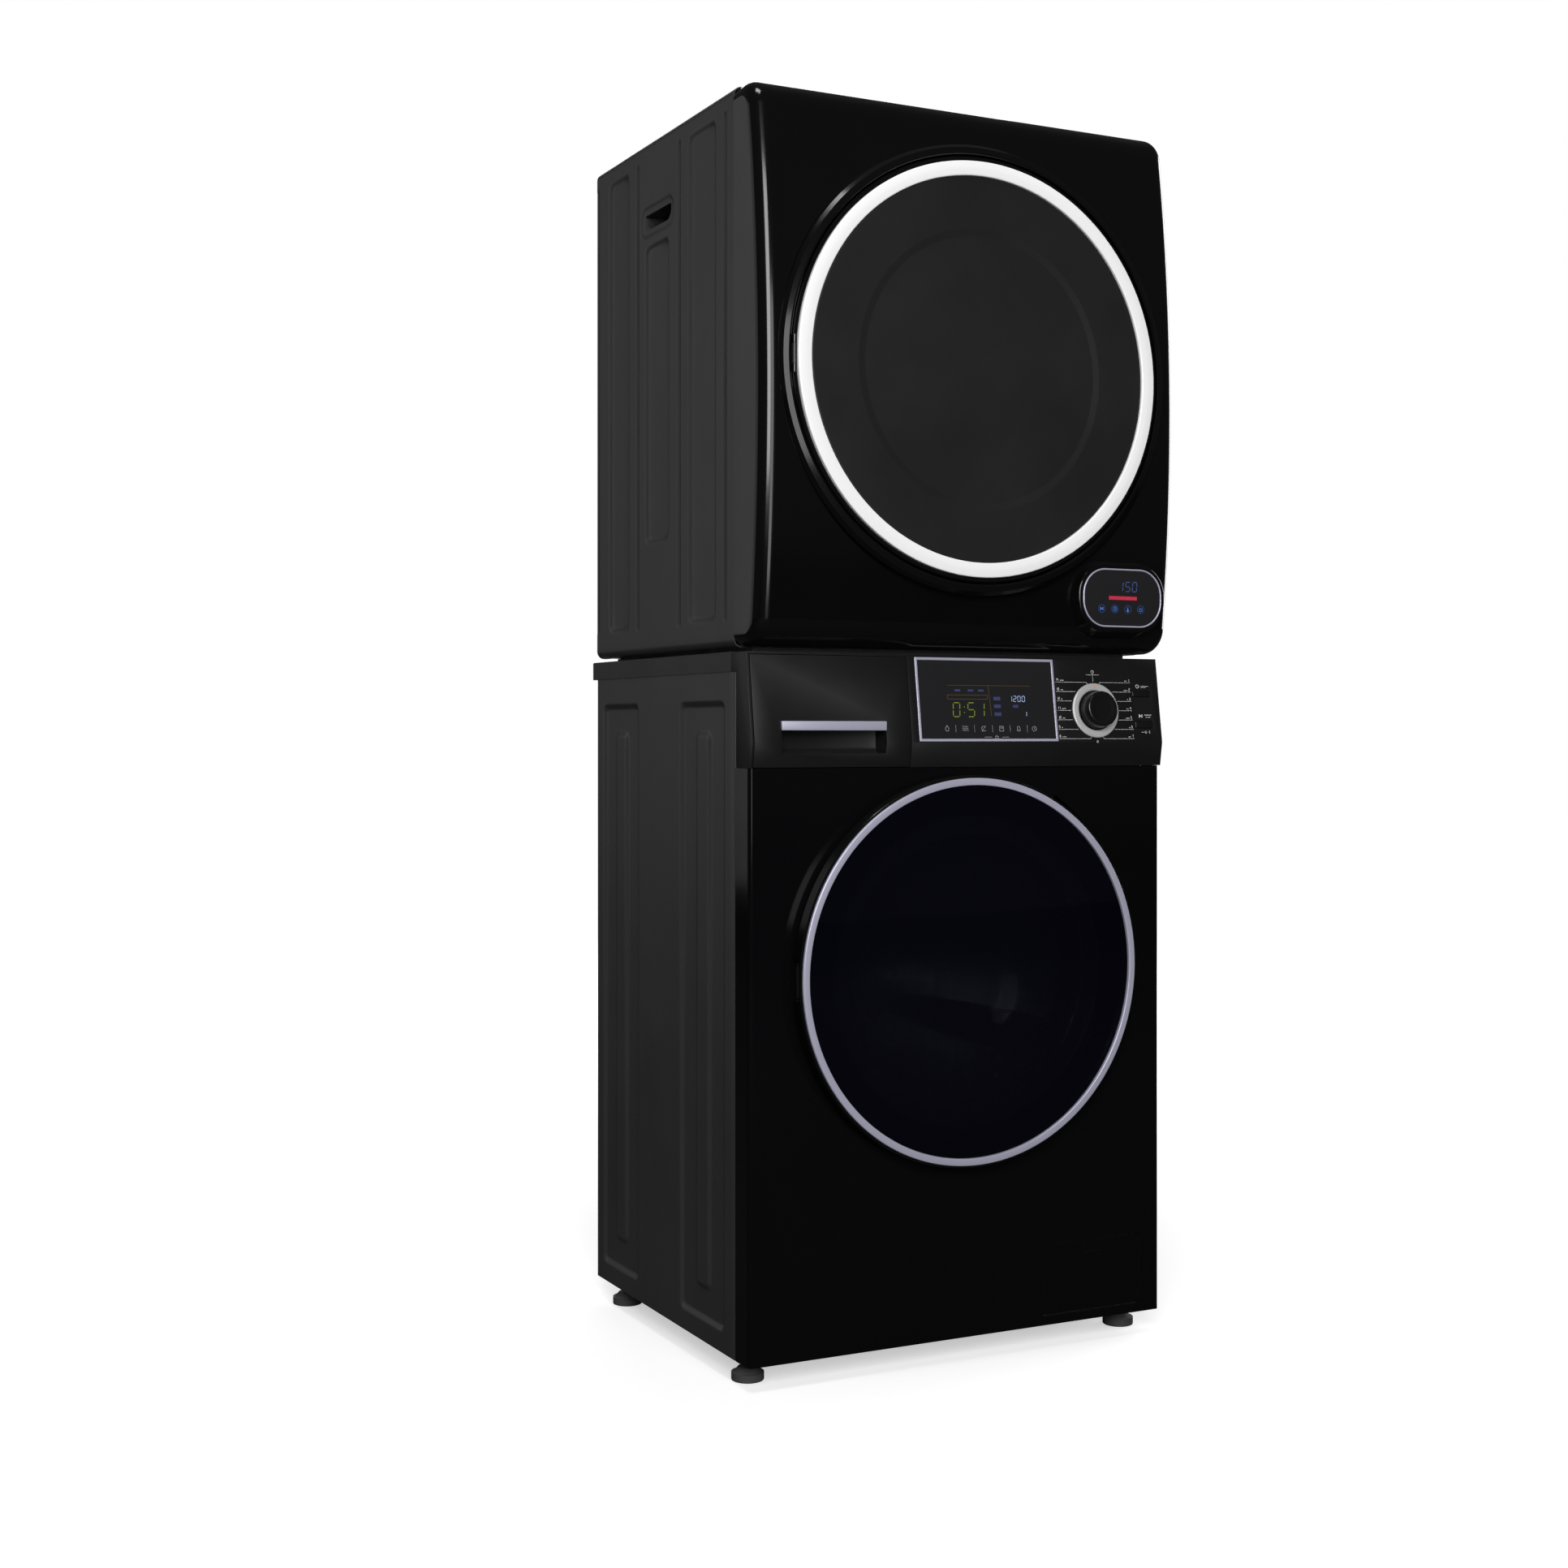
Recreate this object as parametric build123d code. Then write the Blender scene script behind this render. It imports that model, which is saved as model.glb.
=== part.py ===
from build123d import *

import math
import os

# A tumble dryer stacked on a front-loading washer, in millimetres.
# +Z is up, the fronts look towards -Y, and the origin is the bottom centre of the overall box.

# ---------------------------------------------------------------- driving dimensions
overall_width = 596.9
overall_depth = 555.0
overall_height = 1562.1
door_stand_out = 48.0      # the dryer door's trim ring, ahead of the washer's front panel
plate_overhang = 18.0      # the washer's top plate, behind the cabinets
sheet = 1.2                # cabinet steel

half_width = overall_width / 2
body_half = half_width - 0.9
front_y = -overall_depth / 2 + door_stand_out
cabinet_depth = overall_depth - door_stand_out - plate_overhang
rear_panel_depth = cabinet_depth - 20.0
seam_depth = 38.0          # where the front mouldings meet the side panels

# washer heights
body_bottom = 30.0
panel_top = 741.7
plate_bottom = 858.0
plate_top = 882.0
console_top = 881.0

# dryer heights
dryer_bottom = 887.0
dryer_seam = 42.0
belly_ahead = 37.0         # how far the bowed front stands ahead of the washer's front panel
belly_radius = 2400.0
belly_z = 1195.0

# doors, drums and their axes
washer_axis_z = 489.0
washer_ring_r = 239.5
washer_frame_r = 243.0
washer_drum_r = 232.0
dryer_axis_z = 1230.0
dryer_ring_r = 255.5
dryer_rim_r = 261.3
collar_r = 263.8
dryer_drum_r = 268.0
well_depth = -6.0          # floor of the recess that the dryer's door closes into
throat_r = 195.0           # mouth of the dryer's drum

# door hinge pins: distance left of the middle, and depth behind the washer's front panel
washer_pin_x = -230.0
washer_pin_depth = -16.5
dryer_pin_x = -259.0
dryer_pin_depth = -43.2
washer_pin_r = 3.0
dryer_pin_r = 1.9
barrel_r = 3.2             # the dryer hinge's barrel, which shows beside the door's ring
dryer_knuckle = 23.0
pin_clearance = 0.05

# washer drive
drum_pulley_r = 140.0
motor_pulley_r = 11.0
washer_motor_x = -90.0
washer_motor_z = 168.0

# dryer drive
dryer_motor_x = 195.0
dryer_motor_z = 968.0
dryer_pulley_r = 9.0
spigot_x = 105.0
spigot_z = 948.0
spigot_r = 50.0

# console facet: its crease and its top edge, as depth and height
crease = (-7.5, 772.0)
facet_top = (7.5, console_top)
console_lip = (-3.0, 742.0)
drawer_right = -79.0       # seam between the drawer face and the console
knob_x = 196.0
knob_z = 813.0

# control pod and filter hatch
pod_x = 212.0
pod_z = 956.0
hatch_x = 192.0
hatch_width = 148.0
hatch_bottom = 42.0
hatch_height = 91.0

parts = {}


# ---------------------------------------------------------------- shape helpers
def y_at(depth):
    """The Y of a plane that lies this far behind the washer's front panel."""
    return front_y + depth


def block(x0, x1, d0, d1, z0, z1):
    """A box between two sides, two depths and two heights."""
    centre = ((x0 + x1) / 2, y_at((d0 + d1) / 2), (z0 + z1) / 2)
    return Pos(*centre) * Box(x1 - x0, d1 - d0, z1 - z0)


def rod_y(radius, d0, d1, x, z):
    """A round bar along the depth."""
    return Pos(x, y_at((d0 + d1) / 2), z) * Rot(90, 0, 0) * Cylinder(radius, d1 - d0)


def tube_y(outer, inner, d0, d1, x, z):
    """A round tube along the depth."""
    return rod_y(outer, d0, d1, x, z) - rod_y(inner, d0 - 1, d1 + 1, x, z)


def turned(points, x, z):
    """A solid turned about an axis along the depth, from (radius, depth) corners."""
    outline = make_face(Polyline(*points, close=True))
    return Pos(x, front_y, z) * revolve(outline, Axis.Y)


def turned_edges(edges, x, z):
    """The same, from ready-made outline edges."""
    return Pos(x, front_y, z) * revolve(make_face(edges), Axis.Y)


def profile_bar(points, x0, x1):
    """A bar along X from (depth, height) corners."""
    outline = make_face(Polyline(*[(x0, y_at(d), z) for d, z in points], close=True))
    return extrude(outline, amount=x1 - x0, dir=(1, 0, 0))


def strut(start, end, radius):
    """A round bar between two points in space."""
    a = Vector(*start)
    b = Vector(*end)
    return Plane(origin=a, z_dir=b - a) * extrude(Circle(radius), amount=(b - a).length)


def belt_sketch(c0, r0, c1, r1):
    """The area inside a belt that runs round two pulleys."""
    dx = c1[0] - c0[0]
    dz = c1[1] - c0[1]
    length = math.hypot(dx, dz)
    along = math.atan2(dz, dx)
    lean = math.acos((r0 - r1) / length)
    corners = []
    for centre, radius, side in ((c0, r0, 1), (c1, r1, 1), (c1, r1, -1), (c0, r0, -1)):
        angle = along + side * lean
        corners.append((centre[0] + radius * math.cos(angle), centre[1] + radius * math.sin(angle)))
    area = make_face(Polyline(*corners, close=True))
    return area + Pos(*c0) * Circle(r0) + Pos(*c1) * Circle(r1)


def belt(c0, r0, c1, r1, thickness, d0, d1):
    """A flat belt round two pulleys, standing clear of both by the running gap."""
    gap = 0.4
    outer = belt_sketch(c0, r0 + gap + thickness, c1, r1 + gap + thickness)
    inner = belt_sketch(c0, r0 + gap, c1, r1 + gap)
    loop = Plane(origin=(0, y_at(d1), 0), x_dir=(1, 0, 0), z_dir=(0, -1, 0)) * (outer - inner)
    return extrude(loop, amount=d1 - d0)


def around(angle, radius, x, z):
    """A point on a circle about an axis along the depth, as (x, z)."""
    turn = math.radians(angle)
    return x + radius * math.cos(turn), z + radius * math.sin(turn)


# ---------------------------------------------------------------- pressed cabinet sides
wall_plane = Plane(origin=(-body_half, 0, 0), x_dir=(0, 1, 0), z_dir=(1, 0, 0))
press_slope = 35.0         # lean of the pressed walls, in degrees


def wall_patch(d0, d1, z0, z1, radius, sink):
    """A rounded rectangle on the left wall, sunk inwards from its outer face."""
    face = wall_plane.offset(sink) * Pos(y_at((d0 + d1) / 2), (z0 + z1) / 2)
    return face * RectangleRounded(d1 - d0, z1 - z0, radius)


def press_panel(wall, d0, d1, z0, z1, radius, deep):
    """Press a rounded panel into the left wall, with sloped edges."""
    skin = sheet * 0.9
    swell = extrude(wall_patch(d0 - skin, d1 + skin, z0 - skin, z1 + skin, radius + skin, 0.1),
                    amount=deep + sheet - 0.1, taper=press_slope)
    hollow = extrude(wall_patch(d0, d1, z0, z1, radius, 0), amount=deep, taper=press_slope)
    return wall + swell - hollow


def raise_rib(wall, d0, d1, z0, z1, floor):
    """Raise a rib from the floor of a pressed panel back out, almost to the wall's face."""
    rise = floor - 0.4
    outward = Plane(origin=(-body_half + floor, 0, 0), x_dir=(0, -1, 0), z_dir=(-1, 0, 0))
    centre = Pos(-y_at((d0 + d1) / 2), (z0 + z1) / 2)
    ridge = extrude(outward * centre * RectangleRounded(d1 - d0, z1 - z0, 9), amount=rise, taper=press_slope)
    back = outward.offset(-sheet) * centre * RectangleRounded(d1 - d0 - 1, z1 - z0 - 1, 8.5)
    return wall + ridge - extrude(back, amount=rise, taper=press_slope)


def build_washer_sides():
    press_deep = 2.4
    wall = block(-body_half, -body_half + sheet, seam_depth, cabinet_depth, body_bottom, plate_bottom - 0.3)
    for d0, d1, rib0, rib1 in ((68, 204, 112, 159), (339, 466, 380, 425)):
        wall = press_panel(wall, d0, d1, 54, 824, 10, press_deep)
        wall = raise_rib(wall, rib0, rib1, 93, 787, press_deep)
    inner = -body_half + sheet
    wall += block(inner - 0.2, inner + 14, seam_depth + 1, seam_depth + 1 + sheet, 70, 735)
    flange_depth = rear_panel_depth + sheet
    wall += block(inner - 0.2, inner + 16, flange_depth, flange_depth + sheet, 64, 850)
    parts["washer_side_left"] = wall
    parts["washer_side_right"] = mirror(wall, about=Plane.YZ)


def grip_outline(width, height, low_radius, top_radius):
    """A half-moon: nearly flat on top, with large lower corners."""
    face = Rectangle(width, height)
    rows = face.vertices().group_by(Axis.Y)
    face = fillet(rows[0], low_radius)
    rows = face.vertices().group_by(Axis.Y)
    return fillet(rows[-1], top_radius)


grip_depth = 279.0         # middle of the hand grip, behind the washer's front panel
grip_z = 1456.0
grip_width = 86.0
grip_height = 20.0
grip_reach = 34.0          # how far the hand reaches in


def grip_block(extra, sink, reach):
    """The grip's half-moon, grown all round, running inwards from the left wall."""
    face = wall_plane.offset(sink) * Pos(y_at(grip_depth), grip_z)
    outline = grip_outline(grip_width + 2 * extra, grip_height + 2 * extra, 17 + extra, 3 + extra)
    return extrude(face * outline, amount=reach)


def build_dryer_cabinet():
    height = overall_height - dryer_bottom
    middle = Pos(0, (overall_height + dryer_bottom) / 2)
    across = Plane(origin=(0, y_at(cabinet_depth), 0), x_dir=(1, 0, 0), z_dir=(0, -1, 0))
    outer = extrude(across * middle * RectangleRounded(2 * body_half, height, 10),
                    amount=cabinet_depth - dryer_seam)
    inner = extrude(across * middle * RectangleRounded(2 * body_half - 2 * sheet, height - 2 * sheet, 8.8),
                    amount=cabinet_depth - dryer_seam)
    shell = outer - inner
    flange = 14.0
    shell -= block(-body_half + flange, body_half - flange, dryer_seam - 1, cabinet_depth + 1,
                   dryer_bottom - 1, dryer_bottom + 6)
    left = shell & block(-half_width, 0, 0, cabinet_depth + 1, dryer_bottom - 1, overall_height + 1)
    for depth in (68, 206, 343, 485):
        half_groove = 2.5
        if depth + half_groove + sheet < cabinet_depth:
            left = press_panel(left, depth - half_groove, depth + half_groove, 918, 1539, 2.3, 1.4)
    for d0, d1 in ((94, 178), (372, 445)):
        left = press_panel(left, d0, d1, 920, 1538, 12, 2.2)
    left = press_panel(left, 238, 318, 1031, 1426, 12, 2.2)
    rim = grip_block(12, 0, 1.6)
    left = left + grip_block(13, 0.1, 1.6 + sheet - 0.1) - rim
    left -= grip_block(0, -1, 8)
    flange_depth = rear_panel_depth + sheet
    left += block(-body_half + sheet - 0.2, -body_half + 16, flange_depth, flange_depth + sheet, 900, 1550)
    parts["dryer_cabinet"] = left + mirror(left, about=Plane.YZ)
    cup = grip_block(2, 1.6 + sheet, grip_reach) - grip_block(0, 1, grip_reach)
    parts["grip_cups"] = Compound([cup, mirror(cup, about=Plane.YZ)])


# ---------------------------------------------------------------- washer casing
foot_spots = [(side * (half_width - 26), depth) for side in (-1, 1) for depth in (56, cabinet_depth - 50)]


def build_washer_base():
    x = body_half - sheet - 0.2
    tray = block(-x, x, 12, rear_panel_depth - 1, body_bottom, body_bottom + 14)
    tray -= block(-x + 1.5, x - 1.5, 13.5, rear_panel_depth - 2.5, body_bottom + 1.5, body_bottom + 15)
    feet = []
    for foot_x, depth in foot_spots:
        at = Pos(foot_x, y_at(depth), 0)
        tray -= at * Pos(0, 0, body_bottom) * Cylinder(5.4, 10)
        pad = at * Pos(0, 0, 5) * Cylinder(20, 10) + at * Pos(0, 0, 13) * Cone(17, 12, 6)
        pad = fillet(pad.edges().filter_by(GeomType.CIRCLE).sort_by(Axis.Z)[0], 1.5)
        nut = at * Pos(0, 0, 24.5) * extrude(RegularPolygon(10, 6), amount=5.4)
        feet.append(pad + at * Pos(0, 0, 35) * Cylinder(5, 40) + nut)
    parts["washer_base"] = tray
    parts["washer_feet"] = Compound(feet)


finger_r0 = 226.0
finger_r1 = 255.0
finger_angles = (30.0, 58.0)


def ring_sector(r0, r1, d0, d1, a0, a1):
    """A piece of a ring about the washer's axis, between two angles."""
    ring = tube_y(r1, r0, d0, d1, 0, washer_axis_z)
    reach = r1 * 1.6
    p0 = around(a0, reach, 0, washer_axis_z)
    p1 = around(a1, reach, 0, washer_axis_z)
    wedge = make_face(Polyline((0, y_at(d0) - 1, washer_axis_z), (p0[0], y_at(d0) - 1, p0[1]),
                               (p1[0], y_at(d0) - 1, p1[1]), close=True))
    return ring & extrude(wedge, amount=d1 - d0 + 2, dir=(0, 1, 0))


mouth_r = 200.0


def build_washer_front():
    x = body_half
    panel = block(-x, x, 0, seam_depth, body_bottom, panel_top)
    corners = panel.edges().filter_by(Axis.Z).group_by(Axis.Y)[0]
    panel = fillet(corners, 5)
    inside = block(-x + sheet, x - sheet, sheet, seam_depth + 1, body_bottom - 1, panel_top + 1)
    panel -= fillet(inside.edges().filter_by(Axis.Z).group_by(Axis.Y)[0], 5 - sheet)
    panel += rod_y(mouth_r, 0.2, 14, 0, washer_axis_z)
    panel -= rod_y(mouth_r - sheet, -5, 20, 0, washer_axis_z)
    # the cup behind the door's edge, where the fingers go
    a0, a1 = finger_angles
    cup = ring_sector(finger_r0 - sheet, finger_r1 + sheet, 0.2, 17, a0 - 0.4, a1 + 0.4)
    panel = panel + cup - ring_sector(finger_r0, finger_r1, -5, 15.8, a0, a1)
    # slots for the hinge arm and the door hook
    panel -= block(washer_pin_x - 4, washer_pin_x + 4, -1, 3, washer_axis_z - 23, washer_axis_z + 23)
    panel -= block(213, 234, -1, 3, washer_axis_z - 14, washer_axis_z + 14)
    # the hatch opening and the two ears that carry its pivots
    x0 = hatch_x - hatch_width / 2
    x1 = hatch_x + hatch_width / 2
    panel -= block(x0, x1, -1, 3, hatch_bottom, hatch_bottom + hatch_height)
    for ear_x in (x0 - 3.0, x1 + 0.6):
        ear = block(ear_x, ear_x + 2.4, sheet - 0.2, 10, hatch_bottom - 2, hatch_bottom + 12)
        ear -= Pos(ear_x, y_at(5), hatch_bottom + 6) * Rot(0, 90, 0) * Cylinder(1.55, 12)
        panel += ear
    parts["washer_front_panel"] = panel

    # the flap turns about two stub pins low on its back
    hatch = block(x0 + 0.9, x1 - 0.9, 0, 2.5, hatch_bottom + 0.9, hatch_bottom + hatch_height - 0.9)
    hatch = fillet(hatch.edges().filter_by(Axis.Y), 4)
    hatch -= block(hatch_x - 10.5, hatch_x + 10.5, -1, 1.2, hatch_bottom + hatch_height - 16, 140)
    for lug_x in (x0 + 1.6, x1 - 4.6):
        hatch += block(lug_x, lug_x + 3, 2.3, 7.5, hatch_bottom + 3, hatch_bottom + 9)
    for pin_x in (x0 - 0.9, x1 + 0.9):
        hatch += Pos(pin_x, y_at(5), hatch_bottom + 6) * Rot(0, 90, 0) * Cylinder(1.5, 5.4)
    parts["filter_hatch"] = hatch


def build_washer_rear_and_top():
    x = body_half - sheet - 3.0
    rear = block(-x, x, rear_panel_depth, rear_panel_depth + sheet, body_bottom + 2, plate_bottom - 1)
    valve_spots = ((190, 800), (235, 800))
    for vx, vz in valve_spots:
        rear -= rod_y(16.2, rear_panel_depth - 3, rear_panel_depth + 4, vx, vz)
    rear -= rod_y(12.2, rear_panel_depth - 3, rear_panel_depth + 4, 240, 120)
    rear -= rod_y(9.1, rear_panel_depth - 3, rear_panel_depth + 4, -240, 780)
    bolt_spots = [(bx, bz) for bx in (-165, 165) for bz in (350, 640)]
    for bx, bz in bolt_spots:
        rear -= rod_y(12.1, rear_panel_depth - 3, rear_panel_depth + 4, bx, bz)
    # a raised round over the drum pulley, pressed outwards
    dome = rear_panel_depth + 8
    rear += turned([(155, rear_panel_depth), (157, rear_panel_depth), (147, dome), (0, dome),
                    (0, dome - sheet), (146, dome - sheet)], 0, washer_axis_z)
    rear -= rod_y(146, rear_panel_depth - 3, dome - sheet, 0, washer_axis_z)
    parts["washer_rear_panel"] = rear

    fittings = []
    for vx, vz in valve_spots:
        valve = block(vx - 15, vx + 15, rear_panel_depth - 50, rear_panel_depth - 6, vz - 15, vz + 15)
        valve += rod_y(15.5, rear_panel_depth - 8, rear_panel_depth + 2, vx, vz)
        valve += rod_y(13.4, rear_panel_depth, rear_panel_depth + 20, vx, vz)
        valve -= rod_y(8.0, rear_panel_depth - 20, rear_panel_depth + 22, vx, vz)
        fittings.append(valve)
    drain = tube_y(11.8, 8, rear_panel_depth - 30, rear_panel_depth + 4, 240, 120)
    drain += tube_y(10, 8, rear_panel_depth + 3, rear_panel_depth + 28, 240, 120)
    fittings.append(drain)
    for bx, bz in bolt_spots:
        fittings.append(rod_y(11.8, rear_panel_depth - 2, rear_panel_depth + 3, bx, bz)
                        + rod_y(17, rear_panel_depth + sheet, rear_panel_depth + 4, bx, bz))
    for gx, gz in ((-240, 780), (-225, 935)):
        gland = rod_y(8.9, rear_panel_depth - 6, rear_panel_depth + 6, gx, gz)
        gland += rod_y(12, rear_panel_depth + sheet, rear_panel_depth + 6, gx, gz)
        fittings.append(gland - rod_y(4.5, rear_panel_depth - 8, rear_panel_depth + 8, gx, gz))
    parts["rear_connections"] = Compound(fittings)

    plate = block(-half_width, half_width, 51, cabinet_depth + plate_overhang, plate_bottom, plate_top)
    plate = fillet(plate.edges().filter_by(Axis.Z).group_by(Axis.Y)[-1], 6)
    plate = chamfer(plate.edges().group_by(Axis.Z)[-1], 1.2)
    plate -= block(-half_width + 14, half_width - 14, 62, cabinet_depth - 16, plate_bottom - 1, plate_top - 4)
    parts["washer_top_plate"] = plate


# ---------------------------------------------------------------- console and drawer
facet_run = math.hypot(facet_top[0] - crease[0], facet_top[1] - crease[1])
facet_sin = (facet_top[0] - crease[0]) / facet_run
facet_cos = (facet_top[1] - crease[1]) / facet_run
facet = Plane(origin=(0, y_at(crease[0]), crease[1]), x_dir=(1, 0, 0), z_dir=(0, -facet_cos, facet_sin))


def on_facet(sketch, x, z, n0, n1):
    """Extrude a sketch square to the console's face, between two heights above it."""
    up = (z - crease[1]) / facet_cos
    return extrude(facet.offset(n0) * Pos(x, up) * sketch, amount=n1 - n0)


display = (-68.0, 136.0, 773.5, 878.0)
power_button = (270.0, 835.0, 28.0, 7.0)
start_button = (271.0, 795.0, 28.0, 8.6)


def build_console():
    x_end = body_half + 0.3
    outline = [console_lip, crease, facet_top, (51, console_top), (51, plate_bottom + 0.2),
               (seam_depth - 3, plate_bottom + 0.2), (seam_depth - 3, console_lip[1])]
    shell = profile_bar(outline, -x_end, x_end)
    ends = [edge for edge in shell.edges()
            if abs(abs(edge.center().X) - x_end) < 0.01 and edge.center().Y < y_at(3) and edge.length > 5]
    shell = chamfer(ends, 3)
    wall = 2.5
    hollow = [(console_lip[0] + wall, console_lip[1] + wall), (crease[0] + wall, crease[1]),
              (facet_top[0] + wall, console_top - wall), (60, console_top - wall),
              (60, console_lip[1] + wall)]
    shell -= profile_bar(hollow, -x_end + 4, x_end - 4)
    # the drawer's face takes the whole left part of the front
    shell -= block(-x_end + 4, drawer_right, -20, 31, console_lip[1] - 1, console_top - wall)
    partition = [(console_lip[0] + 1, console_lip[1]), (crease[0] + 1, crease[1]),
                 (facet_top[0] + 1, console_top - 1), (seam_depth - 4, console_top - 1),
                 (seam_depth - 4, console_lip[1])]
    shell += profile_bar(partition, drawer_right, drawer_right + wall)
    x0, x1, z0, z1 = display
    middle_x = (x0 + x1) / 2
    middle_z = (z0 + z1) / 2
    high = (z1 - z0) / facet_cos
    shell -= on_facet(Rectangle(x1 - x0, high), middle_x, middle_z, -5, 3)
    shell -= on_facet(Circle(8), knob_x, knob_z, -6, 3)
    for bx, bz, width, height in (power_button, start_button):
        shell -= on_facet(RectangleRounded(width + 0.8, height + 0.8, 1.6), bx, bz, -6, 3)
    parts["console"] = shell

    border = 3.5
    glass = Rectangle(x1 - x0 - 2 * border, high - 2 * border)
    frame = Rectangle(x1 - x0, high) - glass
    parts["display_frame"] = on_facet(frame, middle_x, middle_z, -2.5, 0.9)
    parts["display_window"] = on_facet(glass, middle_x, middle_z, -2.5, 0.2)

    ring = on_facet(Circle(35.5) - Circle(26), knob_x, knob_z, 0, 2.4)
    parts["dial_ring"] = ring
    knob = on_facet(Circle(24.5), knob_x, knob_z, 0.8, 6)
    knob_seat = facet.offset(6) * Pos(knob_x, (knob_z - crease[1]) / facet_cos)
    knob += extrude(knob_seat * Circle(24), amount=13, taper=5)
    rims = knob.edges().filter_by(GeomType.CIRCLE)
    knob = fillet([rims.sort_by(Axis.Y)[0]], 2)
    parts["program_knob"] = knob + on_facet(Circle(4), knob_x, knob_z, -20, 1)
    for name, spec in (("power_button", power_button), ("start_button", start_button)):
        bx, bz, width, height = spec
        cap = on_facet(RectangleRounded(width, height, 1.4), bx, bz, -3, 1.2)
        parts[name] = cap + on_facet(Rectangle(5, 4), bx, bz, -9.5, -2)

    board = on_facet(Rectangle(350, 92), 112, 822, -14, -12.4)
    board -= on_facet(Circle(4.3), knob_x, knob_z, -16, -10)
    board += on_facet(Rectangle(18, 18) - Circle(4.3), knob_x, knob_z, -20, -13.9)
    board += on_facet(Rectangle(150, 60), 34, 826, -12.5, -6)
    parts["console_board"] = board


grip_bar = (-257.0, -114.0, 787.0, 798.5)
tray_x = (-284.0, -92.0)


def build_drawer():
    x0 = -body_half + 4.3
    x1 = drawer_right - 1
    outline = [(console_lip[0], console_lip[1] + 0.6), crease, (facet_top[0] - 0.4, console_top - 3.2),
               (28, console_top - 3.2), (28, console_lip[1] + 0.6)]
    face = profile_bar(outline, x0, x1)
    bx0, bx1, bz0, bz1 = grip_bar
    face -= block(bx0, bx1, -12, 24, 759, bz0)
    face -= block(bx0, bx1, 4, 24, bz0 - 1, bz1 + 4)
    face -= block(bx0, bx1, -12, 2.6, bz0 - 0.1, bz1)
    tx0, tx1 = tray_x
    tray = block(tx0, tx1, 27.5, 240, 776, 842)
    wall = 2.5
    split = -190.0
    rear = 150.0
    tray -= block(tx0 + wall, split - 1, 30, rear, 779, 850)
    tray -= block(split + 1, tx1 - wall, 30, 240 - wall, 779, 850)
    tray -= block(tx0 + wall, split - 1, rear + 2, 240 - wall, 779, 850)
    parts["detergent_drawer"] = face + tray
    parts["drawer_handle_trim"] = block(bx0, bx1, -7.2, 2.6, bz0, bz1 - 0.1)
    housing = block(-291, -85, 34, 300, 769, 853)
    housing -= block(-288.5, -87.5, 30, 297.5, 771.5, 850.5)
    parts["drawer_housing"] = housing


# ---------------------------------------------------------------- washer tub, drum and drive
tub_front = 48.0
tub_rear = 392.0
drum_back = 370.0


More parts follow.
